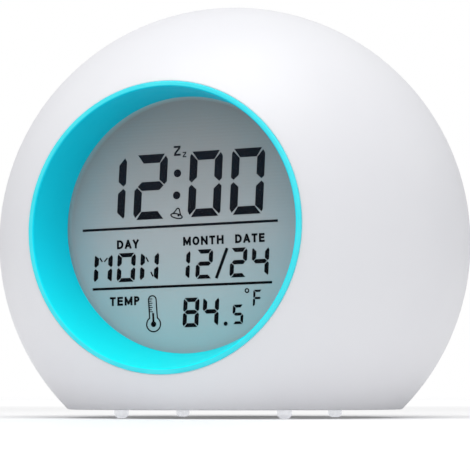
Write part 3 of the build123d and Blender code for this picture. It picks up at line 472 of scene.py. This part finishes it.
def led_white():
    """Yellowish resin over the light sources."""
    return moulded(
        "led_white", dark=(0.85, 0.80, 0.52), light=(0.92, 0.89, 0.70), rough=(0.25, 0.4),
        grain=0.3, depth=0.004, patch=1.5, Subsurface_Weight=0.2, Subsurface_Scale=0.001,
    )


def switch_black():
    """Black plastic of the push switches."""
    return moulded(
        "switch_black", dark=(0.015, 0.015, 0.016), light=(0.03, 0.03, 0.032), rough=(0.4, 0.55),
        grain=0.2, depth=0.006, patch=4.0,
    )


def cover_white():
    """Rear and base covers with a spark-eroded texture."""
    return moulded(
        "cover_white", dark=(0.77, 0.77, 0.785), light=(0.81, 0.81, 0.825), rough=(0.46, 0.58),
        grain=0.28, depth=0.02, patch=20.0,
    )


def key_grey():
    """Satin grey plastic of the rear keys."""
    return moulded(
        "key_grey", dark=(0.60, 0.615, 0.64), light=(0.65, 0.665, 0.69), rough=(0.38, 0.48),
        grain=0.25, depth=0.006, patch=3.0,
    )


def contact_nickel():
    """Nickel plated spring steel."""
    return moulded(
        "contact_nickel", dark=(0.60, 0.57, 0.50), light=(0.72, 0.69, 0.62), rough=(0.2, 0.38),
        grain=0.4, depth=0.004, patch=3.0, Metallic=1.0,
    )


def cell_jacket(name, nub_side):
    """Cell sleeve in two tones with a stripe between them, and bare metal ends."""
    material, tree, shader = new_material(name)
    low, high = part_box("cell_bottom")
    along = add_node(tree, "ShaderNodeSeparateXYZ", [("Vector", place_output(tree))]).outputs["X"]
    share = carried_over(tree, along, (low.x * nub_side, high.x * nub_side))
    steel = (0.62, 0.61, 0.58)
    sleeve_end = 1.0 - BARE_NUB_END * MM / (high.x - low.x)
    bands = [
        (0.0, steel), (SLEEVE_START, (0.03, 0.10, 0.12)), (STRIPE_START, (0.72, 0.74, 0.74)),
        (STRIPE_END, (0.05, 0.34, 0.40)), (sleeve_end, steel),
    ]
    tree.links.new(ramp(tree, share, bands, "CONSTANT"), shader.inputs["Base Color"])
    bare = [(0.0, (1, 1, 1)), (SLEEVE_START, (0.35, 0.35, 0.35)), (sleeve_end, (1, 1, 1))]
    tree.links.new(ramp(tree, share, bare, "CONSTANT"), shader.inputs["Metallic"])
    uneven_gloss(tree, shader, noise(tree, size=4.0), low=0.22, high=0.36)
    bump(tree, shader, noise(tree, size=1.2), depth=0.004)
    return material


def foot_clear():
    """Soft clear nubs with a painted glow."""
    return moulded(
        "foot_clear", dark=(0.94, 0.95, 0.96), light=(0.97, 0.98, 0.99), rough=(0.15, 0.28),
        grain=0.6, depth=0.004, patch=2.0, IOR=1.42, Alpha=0.55,
        # Emission is a painted glow that brightens the nubs in the shade under the clock
        Emission_Color=(0.93, 0.94, 1.0, 1.0), Emission_Strength=0.37,
    )


def speaker_black():
    """Painted pressed steel."""
    return moulded(
        "speaker_black", dark=(0.015, 0.015, 0.015), light=(0.03, 0.03, 0.03), rough=(0.35, 0.5),
        grain=0.3, depth=0.01, patch=5.0,
    )


def magnet_grey():
    """Dull plated magnet."""
    return moulded(
        "magnet_grey", dark=(0.16, 0.16, 0.17), light=(0.24, 0.24, 0.25), rough=(0.35, 0.55),
        grain=0.4, depth=0.01, patch=4.0, Metallic=0.8,
    )


def cone_paper():
    """Dark pressed paper."""
    return moulded(
        "cone_paper", dark=(0.035, 0.034, 0.032), light=(0.07, 0.068, 0.064), rough=(0.8, 0.95),
        grain=0.35, depth=0.05, patch=2.0,
    )


def lead_sleeve():
    """Soft insulation, one colour for each wire."""
    material, tree, shader = new_material("lead_sleeve")
    each = add_node(tree, "ShaderNodeNewGeometry").outputs["Random Per Island"]
    colours = [(0.0, (0.55, 0.03, 0.025)), (0.34, (0.02, 0.02, 0.022)), (0.67, (0.62, 0.60, 0.56))]
    tree.links.new(ramp(tree, each, colours, "CONSTANT"), shader.inputs["Base Color"])
    uneven_gloss(tree, shader, noise(tree, size=2.0), low=0.35, high=0.5)
    bump(tree, shader, noise(tree, size=0.5), depth=0.006)
    return material


def display_ink():
    """Dark liquid crystal bars and printed legends, a little paler toward the top of the panel."""
    material, tree, shader = new_material("display_ink")
    clouds = noise(tree, size=2.0)
    height = height_share(tree, "lcd_panel", clouds, amount=0.04)
    tone = ramp(tree, height, [(0.4, (0.001, 0.0014, 0.003)), (0.7, (0.010, 0.011, 0.017))])
    tree.links.new(tone, shader.inputs["Base Color"])
    uneven_gloss(tree, shader, clouds, low=0.5, high=0.6)
    bump(tree, shader, noise(tree, size=0.3, detail=2.0), depth=0.001)
    shader.inputs["Specular IOR Level"].default_value = 0.02
    return material


def print_grey():
    """Dark grey ink of the signs on the keys and the door."""
    return moulded(
        "print_grey", dark=(0.05, 0.052, 0.056), light=(0.08, 0.083, 0.09), rough=(0.5, 0.62),
        grain=0.2, depth=0.004, patch=1.0,
    )


def floor_white():
    """Pale matt floor that brightens into the backdrop far from the clock."""
    material = moulded(
        "floor_white", dark=(0.88, 0.88, 0.885), light=(0.90, 0.90, 0.905), rough=(0.45, 0.55),
        grain=3.0, depth=0.001, patch=60.0, Specular_IOR_Level=0.2, Emission_Color=(1.0, 1.0, 1.0, 1.0),
    )
    tree = material.node_tree
    length = add_node(tree, "ShaderNodeVectorMath", [(0, place_output(tree))], operation="LENGTH")
    away = length.outputs["Value"]
    glow = carried_over(tree, away, FLOOR_FADE, FLOOR_GLOW, interpolation_type="SMOOTHSTEP")
    tree.links.new(glow, tree.nodes["Principled BSDF"].inputs["Emission Strength"])
    return material


def finish_nodes():
    """Give every piece of the frame the finish of its slot."""
    makers = (
        shell_white, bezel_teal, lens_clear, lcd_glass, guide_clear, inner_white, contact_rubber, screw_steel,
        board_green, chip_black, can_metal, socket_ivory, led_white, switch_black, cover_white, key_grey,
        contact_nickel, foot_clear, speaker_black, magnet_grey, cone_paper, lead_sleeve,
    )
    finishes = {maker.__name__: maker() for maker in makers}
    jackets = {1: cell_jacket("cell_jacket_right", 1), -1: cell_jacket("cell_jacket_left", -1)}
    for name, piece in nodes.items():
        slot = piece.data.materials[0].name.split(".")[0]
        finish = jackets[NUB_SIDES[name]] if name in NUB_SIDES else finishes[slot]
        piece.data.materials.clear()
        piece.data.materials.append(finish)


# Flat marks

def slab(mesh, outline, depth):
    """Thin plate with that outline of x and z, its front face at y = -depth."""
    fronts = [mesh.verts.new((x, -depth, z)) for x, z in outline]
    backs = [mesh.verts.new((x, 0.0, z)) for x, z in outline]
    mesh.faces.new(fronts)
    mesh.faces.new(backs[::-1])
    count = len(outline)
    for index in range(count):
        after = (index + 1) % count
        mesh.faces.new((fronts[after], fronts[index], backs[index], backs[after]))


def band(mesh, outer, inner, depth):
    """Thin closed band between two outlines with as many corners each."""
    loops = [
        [mesh.verts.new((x, y, z)) for x, z in outline]
        for y in (-depth, 0.0)
        for outline in (outer, inner)
    ]
    front_outer, front_inner, back_outer, back_inner = loops
    rings = (
        (front_outer, front_inner), (front_inner, back_inner),
        (back_inner, back_outer), (back_outer, front_outer),
    )
    count = len(outer)
    for first, second in rings:
        for index in range(count):
            after = (index + 1) % count
            mesh.faces.new((first[index], first[after], second[after], second[index]))


def circle(x, z, radius, count=32, start=0.0, turn=2 * math.pi):
    """Points on a circle or, with less than a whole turn, on an arc."""
    steps = count if turn >= 2 * math.pi else count - 1
    angles = [start + turn * step / steps for step in range(count)]
    return [(x + radius * math.cos(angle), z + radius * math.sin(angle)) for angle in angles]


def sides(points, width, closed=False):
    """The two edges of a line of that width."""
    lefts, rights = [], []
    count = len(points)
    for index, (x, z) in enumerate(points):
        here = Vector((x, z))
        arriving = (here - Vector(points[index - 1])).normalized()
        leaving = (Vector(points[(index + 1) % count]) - here).normalized()
        if not closed and index == 0:
            arriving = leaving
        if not closed and index == count - 1:
            leaving = arriving
        along = (arriving + leaving).normalized()
        across = along.orthogonal() * width / 2 / max(along.dot(arriving), MITRE_LIMIT)
        lefts.append((x + across.x, z + across.y))
        rights.append((x - across.x, z - across.y))
    return lefts, rights


def stroke(mesh, points, width, depth, closed=False):
    """Line of that width through the points."""
    lefts, rights = sides(points, width, closed)
    if closed:
        band(mesh, lefts, rights, depth)
    else:
        slab(mesh, lefts + rights[::-1], depth)


def turned(points, degrees, x, z):
    """Points turned about the origin, then moved."""
    turn = Matrix.Rotation(math.radians(degrees), 2)
    moved = [turn @ Vector(point) for point in points]
    return [(point.x + x, point.y + z) for point in moved]


def bar_outlines(width, height, bar, upper, lower, gap):
    """The seven bars of a digit by letter, its lower left corner at the origin."""
    slip = gap / math.sqrt(2)
    middle = MIDDLE_SHARE * height
    point = POINT_SHARE * bar
    start = point + gap

    def level_bar(thick):
        """Bar along the end of the digit: across from the blunt corner, and in from the end."""
        return [
            (BLUNT_CORNER["tip"] * bar, 0), (width - SHARP_CORNER["tip"] * bar, 0),
            (width - bar - slip, thick), (bar + slip, thick),
        ]

    def side_bar(corner, thick, reach):
        """Bar down the side from a corner to the middle: in from the side, and in from the end."""
        apex = APEX_FALL * bar
        foot = reach - MIDDLE_GAP * bar / 2
        return [
            (0, apex + corner["cut"] * bar), (corner["apex"] * bar, apex), (bar, thick + slip),
            (bar, foot - POINT_RISE * bar), (point, foot), (0, foot - point),
        ]

    def placed(outline, sideways, upside):
        """Outline measured from a side and an end of the digit, put in its corner."""
        return [(width - x if sideways else x, z if upside else height - z) for x, z in outline]

    half = upper / 2
    across = [
        (start, middle), (start + half, middle + half), (width - start - half, middle + half),
        (width - start, middle), (width - start - half, middle - half), (start + half, middle - half),
    ]
    return {
        "a": placed(level_bar(upper), False, False),
        "b": placed(side_bar(SHARP_CORNER, upper, height - middle), True, False),
        "c": placed(side_bar(BLUNT_CORNER, lower, middle), True, True),
        "d": placed(level_bar(lower), True, True),
        "e": placed(side_bar(SHARP_CORNER, lower, middle), False, True),
        "f": placed(side_bar(BLUNT_CORNER, upper, height - middle), False, False),
        "g": across,
    }


def leaning(outline, left, bottom):
    """Outline of a digit put in its place with the lean of the display."""
    return [(left + x + BAR_SLANT * z, bottom + z) for x, z in outline]


def digit(mesh, sign, left, bottom, size):
    """One digit or letter made of bars."""
    outlines = bar_outlines(**size)
    for letter in BARS[sign]:
        slab(mesh, leaning(outlines[letter], left, bottom), INK_DEPTH)


def digits(mesh, signs, left, bottom, pitch, size):
    """Row of digits or letters."""
    for index, sign in enumerate(signs):
        digit(mesh, sign, left + index * pitch, bottom, size)


def bell(mesh):
    """Dome over an oval mouth with the clapper in it."""
    crown_height, crown_radius = BELL_CROWN
    half_foot, foot_height = BELL_SHOULDER

    def placed(points):
        """Points in reaches from the middle of the mouth, put in their place."""
        return turned([(BELL_REACH * x, BELL_REACH * z) for x, z in points], BELL_LEAN, *BELL_PLACE)

    mouth = [(x, BELL_MOUTH * z) for x, z in circle(0, 0, 1, count=24)]
    crown = circle(0, crown_height, crown_radius, count=9, turn=math.pi)
    dome = [(half_foot, foot_height), *crown, (-half_foot, foot_height)]
    stroke(mesh, placed(mouth), THIN_LINE, INK_DEPTH, closed=True)
    stroke(mesh, placed(dome), THIN_LINE, INK_DEPTH)
    slab(mesh, placed(circle(*BELL_CLAPPER, count=12)), INK_DEPTH)


def thermometer(mesh):
    """Tube with its scale, bulb and column."""
    x, z = THERMOMETER_PLACE
    neck = math.asin(TUBE_RADIUS / BULB_RADIUS)
    bulb = circle(x, z, BULB_RADIUS, count=26, start=math.pi / 2 + neck, turn=2 * (math.pi - neck))
    top = circle(x + TUBE_SHIFT, z + TUBE_TOP - TUBE_RADIUS, TUBE_RADIUS, count=13, turn=math.pi)
    stroke(mesh, bulb + top, THIN_LINE, INK_DEPTH, closed=True)
    slab(mesh, circle(x, z, BULB_FILL), INK_DEPTH)
    column_shift = TUBE_SHIFT * COLUMN_TOP / TUBE_TOP
    stroke(mesh, [(x, z), (x + column_shift, z + COLUMN_TOP)], COLUMN_WIDTH, INK_DEPTH)
    for tick in range(TICK_COUNT):
        height = TICK_START + TICK_PITCH * tick
        left = x - TUBE_RADIUS + TUBE_SHIFT * height / TUBE_TOP
        length = TICK_LENGTHS[tick % len(TICK_LENGTHS)]
        stroke(mesh, [(left, z + height), (left + length, z + height)], TICK_LINE, INK_DEPTH)


def time_marks(mesh):
    """Hours, minutes and the colon between them."""
    digits(mesh, "12", HOUR_LEFT, TIME_BOTTOM, TIME_PITCH, TIME_DIGIT)
    digits(mesh, "00", MINUTE_LEFT, TIME_BOTTOM, TIME_PITCH, TIME_DIGIT)
    for x, z in COLON_PLACES:
        slab(mesh, circle(x, z, COLON_RADIUS), INK_DEPTH)


def date_marks(mesh):
    """Weekday, month and date, with a slash between the last two."""
    digits(mesh, "MON", WEEKDAY_LEFT, DATE_BOTTOM, WEEKDAY_PITCH, LETTER)
    digits(mesh, "12", MONTH_LEFT, DATE_BOTTOM, MONTH_PITCH, DATE_DIGIT)
    digits(mesh, "24", DAY_LEFT, DATE_BOTTOM, DATE_PITCH, DATE_DIGIT)
    for place, lines in WEEKDAY_SLOPES.items():
        for line in lines:
            ends = [(across * LETTER["width"], up * LETTER["height"]) for across, up in line]
            ends = leaning(ends, WEEKDAY_LEFT + place * WEEKDAY_PITCH, DATE_BOTTOM)
            stroke(mesh, ends, SLOPE_LINE, INK_DEPTH)
    x, z = SLASH_MIDDLE
    half_width, half_height = SLASH_SIZE[0] / 2, SLASH_SIZE[1] / 2
    ends = [(x - half_width, z - half_height), (x + half_width, z + half_height)]
    stroke(mesh, ends, SLASH_WIDTH, INK_DEPTH)


def temperature_marks(mesh):
    """Degrees, point, tenths and the unit."""
    digits(mesh, "84", TEMPERATURE_LEFT, TEMPERATURE_BOTTOM, TEMPERATURE_PITCH, TEMPERATURE_DIGIT)
    slab(mesh, circle(*POINT_PLACE, POINT_RADIUS), INK_DEPTH)
    digit(mesh, "5", TENTH_LEFT, TEMPERATURE_BOTTOM + TENTH_RISE, TENTH_DIGIT)
    stroke(mesh, circle(*DEGREE_PLACE, DEGREE_RADIUS), THIN_LINE, INK_DEPTH, closed=True)
    digit(mesh, "F", UNIT_LEFT, UNIT_BOTTOM, UNIT_LETTER)


def icon_marks(mesh):
    """Bell, thermometer and the two letters of the snooze sign."""
    bell(mesh)
    thermometer(mesh)
    for x, z, width, height in SNORE_SIGNS:
        left, right = x - width / 2, x + width / 2
        low, high = z - height / 2, z + height / 2
        bold = SNORE_BOLD * height
        stroke(mesh, [(left, high - bold / 2), (right, high - bold / 2)], bold, INK_DEPTH)
        stroke(mesh, [(right - bold / 2, high - bold), (left + bold / 2, low + bold)], bold, INK_DEPTH)
        stroke(mesh, [(left, low + bold / 2), (right, low + bold / 2)], bold, INK_DEPTH)


def rule_marks(mesh):
    """Level lines between the rows."""
    for left, right, z, width in RULES:
        stroke(mesh, [(left, z), (right, z)], width, INK_DEPTH)


def letter_lines():
    """Capital letters as lines in a unit square, by letter."""
    bowl = circle(0, 0, 0.5, count=12, start=math.pi / 2, turn=-math.pi)
    return {
        "A": [[(0, 0), (0.47, 1)], [(1, 0), (0.53, 1)], [(0.3, 0.28), (0.7, 0.28)]],
        "D": [[(0, 0), (0, 1)] + [(0.4 + 1.2 * x, 0.5 + z) for x, z in bowl] + [(0, 0)]],
        "E": [[(1, 1), (0, 1), (0, 0), (1, 0)], [(0, 0.53), (0.9, 0.53)]],
        "H": [[(0, 0), (0, 1)], [(1, 0), (1, 1)], [(0, 0.53), (1, 0.53)]],
        "M": [[(0, 0), (0, 1)], [(0.05, 0.9), (0.5, 0.15)], [(0.95, 0.9), (0.5, 0.15)], [(1, 0), (1, 1)]],
        "N": [[(0, 0), (0, 1)], [(0.05, 0.92), (0.95, 0.08)], [(1, 0), (1, 1)]],
        "O": [circle(0.5, 0.5, 0.5, count=24)],
        "P": [[(0, 0), (0, 1)], [(0, 1)] + [(0.5 + x, 0.74 + 0.52 * z) for x, z in bowl] + [(0, 0.48)]],
        "T": [[(0, 1), (1, 1)], [(0.5, 1), (0.5, 0)]],
        "Y": [[(0, 1), (0.5, 0.46)], [(1, 1), (0.5, 0.46)], [(0.5, 0.46), (0.5, 0)]],
    }


def carried_on(points, reach):
    """Line drawn out past both of its ends."""
    tips = []
    for end, inner in ((points[0], points[1]), (points[-1], points[-2])):
        tip = Vector(end) + (Vector(end) - Vector(inner)).normalized() * reach
        tips.append((tip.x, tip.y))
    return [tips[0], *points[1:-1], tips[1]]


def label_marks(mesh):
    """Printed words, each fitted to its width and height about its middle."""
    letters = letter_lines()
    for word, x, z, width, height in LABELS:
        tall = height - LABEL_LINE
        natural = sum(LABEL_WIDTHS[letter] for letter in word) + LABEL_SPACE * (len(word) - 1)
        stretch = (width - LABEL_LINE) / natural
        left = x - (width - LABEL_LINE) / 2
        for letter in word:
            box = LABEL_WIDTHS[letter] * stretch
            for line in letters[letter]:
                points = [(left + across * box, z + (up - 0.5) * tall) for across, up in line]
                if letter == "O":
                    stroke(mesh, points, LABEL_LINE, INK_DEPTH, closed=True)
                else:
                    stroke(mesh, carried_on(points, LABEL_LINE / 2), LABEL_LINE, INK_DEPTH)
            left += box + LABEL_SPACE * stretch


def add_marks(name, draw, place, finish, body):
    """Piece made of flat marks, drawn in millimetres and set in its place."""
    drawing = bmesh.new()
    draw(drawing)
    bmesh.ops.recalc_face_normals(drawing, faces=drawing.faces)
    drawing.transform(place)
    mesh = bpy.data.meshes.new(name)
    drawing.to_mesh(mesh)
    drawing.free()
    mesh.materials.append(finish)
    piece = bpy.data.objects.new(name, mesh)
    bpy.context.scene.collection.objects.link(piece)
    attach(piece, body)
    return piece


def set_at(point, turn=0.0, axis="Z"):
    """Place of marks drawn in millimetres: their origin at the point, turned about an axis through it."""
    return Matrix.Translation(point) @ Matrix.Rotation(turn, 4, axis) @ Matrix.Scale(MM, 4)


def add_display_film():
    """Polarising film that covers the panel behind the marks."""
    low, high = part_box("lcd_panel")
    centre = middle_of("lcd_panel")
    centre.y = display_front
    radius = (high.x - low.x) / 2 / MM - FILM_MARGIN

    def disc(mesh):
        """Round film."""
        slab(mesh, circle(0, 0, radius, count=96), FILM_DEPTH)

    # Finish of the panel, with its painted teal light and painted shade
    finish = nodes["lcd_panel"].data.materials[0]
    film = add_marks("display_film", disc, set_at(centre), finish, "clock")


def add_bezel_seal():
    """Soft white ring that fills the gap round the bezel, so that the shade line of the gap shows pale."""
    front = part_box("ball_shell")[0].y + SEAL_DEPTHS[0] * MM
    depth = SEAL_DEPTHS[1] - SEAL_DEPTHS[0]
    inner, outer = SEAL_RADII

    def ring(mesh):
        """Ring between the two radii."""
        band(mesh, circle(0, 0, outer, count=128), circle(0, 0, inner, count=128), depth)

    back = Vector((ball_centre.x, front + depth * MM, ball_centre.z))
    finish = nodes["ball_shell"].data.materials[0]
    seal = add_marks("bezel_seal", ring, set_at(back), finish, "clock")


def add_display_marks():
    """Bars, legends and rules of the display, on the front of the film."""
    ink = display_ink()
    window = Vector((0.0, display_front - FILM_DEPTH * MM, window_height))
    place = set_at(window, -DISPLAY_ROLL, "Y")
    drawings = {
        "display_time": time_marks, "display_date": date_marks, "display_temperature": temperature_marks,
        "display_icons": icon_marks, "display_rules": rule_marks, "display_labels": label_marks,
    }
    for name, draw in drawings.items():
        add_marks(name, draw, place, ink, "clock")


# Rear key prints

def clock_print(mesh):
    """Dial with two hands."""
    up, along = PRINT_HANDS
    stroke(mesh, circle(0, 0, PRINT_REACH), PRINT_LINE, PRINT_DEPTH, closed=True)
    stroke(mesh, [(0, up * PRINT_REACH), (0, 0), (along * PRINT_REACH, 0)], PRINT_LINE, PRINT_DEPTH)


def dot_print(mesh):
    """Ring with a dot in it."""
    stroke(mesh, circle(0, 0, PRINT_REACH), PRINT_LINE, PRINT_DEPTH, closed=True)
    slab(mesh, circle(0, 0, PRINT_DOT * PRINT_REACH), PRINT_DEPTH)


def up_print(mesh):
    """Triangle that points up."""
    slab(mesh, circle(0, 0, PRINT_REACH, count=3, start=math.pi / 2), PRINT_DEPTH)


def down_print(mesh):
    """Triangle that points down."""
    slab(mesh, circle(0, 0, PRINT_REACH, count=3, start=-math.pi / 2), PRINT_DEPTH)


def bell_print(mesh):
    """Filled bell: a round crown flaring out to the rim, with the clapper under it."""
    height, radius = PRINT_BELL_CROWN
    crown = circle(0, height, radius, count=13, turn=math.pi)
    flare = [
        (-radius, PRINT_BELL_NECK), (-PRINT_REACH, PRINT_BELL_RIM),
        (PRINT_REACH, PRINT_BELL_RIM), (radius, PRINT_BELL_NECK),
    ]
    slab(mesh, crown + flare, PRINT_DEPTH)
    slab(mesh, circle(*PRINT_BELL_CLAPPER, count=13), PRINT_DEPTH)


def add_key_prints(ink):
    """Plain signs on the rear keys, each riding on its key."""
    prints = {
        "mode_button": clock_print, "set_button": dot_print, "up_button": up_print,
        "down_button": down_print, "alarm_button": bell_print,
    }
    for key, draw in prints.items():
        middle = middle_of(key)
        middle.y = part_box(key)[1].y
        add_marks(key.replace("button", "print"), draw, set_at(middle, math.pi), ink, key)


# Battery door marks

def arrow_marks(mesh):
    """Triangle that points down."""
    width, height = ARROW_SIZE
    slab(mesh, [(-width / 2, 0), (0, -height), (width / 2, 0)], ARROW_RISE)


def rectangle(x, z, width, height):
    """Corners of a rectangle about its middle."""
    return [
        (x - width / 2, z - height / 2), (x + width / 2, z - height / 2),
        (x + width / 2, z + height / 2), (x - width / 2, z + height / 2),
    ]


def diagram_marks(mesh):
    """Outlines of the cells with plus and minus signs at their ends."""
    door = middle_of("battery_door")
    length, thick = DIAGRAM_CELL
    nub_length, nub_thick = DIAGRAM_NUB
    for cell, side in NUB_SIDES.items():
        z = (middle_of(cell).z - door.z) / MM
        stroke(mesh, rectangle(0, z, length, thick), DIAGRAM_LINE, PRINT_DEPTH, closed=True)
        nub_x = side * (length / 2 + nub_length / 2)
        stroke(mesh, rectangle(nub_x, z, nub_length, nub_thick), DIAGRAM_LINE, PRINT_DEPTH, closed=True)
        plus_x = side * (length / 2 - SIGN_INSET)
        slab(mesh, rectangle(plus_x, z, SIGN_SIZE, DIAGRAM_LINE), PRINT_DEPTH)
        slab(mesh, rectangle(plus_x, z, DIAGRAM_LINE, SIGN_SIZE), PRINT_DEPTH)
        slab(mesh, rectangle(-plus_x, z, SIGN_SIZE, DIAGRAM_LINE), PRINT_DEPTH)


def add_door_marks(ink):
    """Arrow outside the battery door and diagram inside it, both riding on the door."""
    low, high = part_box("battery_door")
    middle = middle_of("battery_door")
    outside = Vector((middle.x, high.y, high.z - ARROW_DROP * MM))
    finish = nodes["battery_door"].data.materials[0]
    arrow = add_marks("door_arrow", arrow_marks, set_at(outside, math.pi), finish, "battery_door")
    inside = Vector((middle.x, low.y, middle.z))
    add_marks("door_diagram", diagram_marks, set_at(inside), ink, "battery_door")


# Stage

def add_floor():
    """Round floor under the feet."""
    mesh = bpy.data.meshes.new("floor")
    corners = [(x, y, 0.0) for x, y in circle(0, 0, FLOOR_RADIUS, count=96)]
    mesh.from_pydata(corners, [], [tuple(range(len(corners)))])
    mesh.materials.append(floor_white())
    floor = bpy.data.objects.new("floor", mesh)
    bpy.context.scene.collection.objects.link(floor)


def add_softbox(name, place, size, power):
    """Square lamp facing the clock."""
    lamp = bpy.data.lights.new(name, "AREA")
    lamp.size = size
    lamp.energy = power
    holder = bpy.data.objects.new(name, lamp)
    holder.location = place
    holder.rotation_euler = (ball_centre - Vector(place)).to_track_quat("-Z", "Y").to_euler()
    bpy.context.scene.collection.objects.link(holder)


def add_light():
    """Even white surround, a broad lamp above and a weaker one in front."""
    world = bpy.data.worlds.new("studio")
    world.use_nodes = True
    tree = world.node_tree
    surround = tree.nodes["Background"]
    surround.inputs["Strength"].default_value = SKY_STRENGTH
    backdrop = add_node(tree, "ShaderNodeBackground")
    for background in (surround, backdrop):
        background.inputs["Color"].default_value = (1.0, 1.0, 1.0, 1.0)
    seen = add_node(tree, "ShaderNodeLightPath").outputs["Is Camera Ray"]
    choices = [(0, seen), (1, surround.outputs[0]), (2, backdrop.outputs[0])]
    either = add_node(tree, "ShaderNodeMixShader", choices)
    tree.links.new(either.outputs[0], tree.nodes["World Output"].inputs["Surface"])
    bpy.context.scene.world = world
    add_softbox("lamp_above", **LAMP_ABOVE)
    add_softbox("lamp_front", **LAMP_FRONT)


def add_camera():
    """Camera of the picture."""
    camera = bpy.data.cameras.new("camera")
    camera.sensor_width = SENSOR_WIDTH
    camera.lens = SENSOR_WIDTH * FOCAL_PIXELS / PICTURE_PIXELS
    camera.clip_start = NEAREST_SEEN
    holder = bpy.data.objects.new("camera", camera)
    level = Vector((math.sin(CAMERA_AZIMUTH), -math.cos(CAMERA_AZIMUTH), 0.0))
    holder.location = ball_centre + level * CAMERA_DISTANCE - Vector((0.0, 0.0, CAMERA_DROP))
    holder.rotation_euler = (math.pi / 2 + CAMERA_PITCH, 0.0, CAMERA_AZIMUTH)
    bpy.context.scene.collection.objects.link(holder)
    bpy.context.scene.camera = holder


finish_nodes()
add_display_film()
add_bezel_seal()
add_display_marks()
sign_ink = print_grey()
add_key_prints(sign_ink)
add_door_marks(sign_ink)
add_floor()
add_light()
add_camera()
bpy.context.scene.view_settings.view_transform = "Standard"
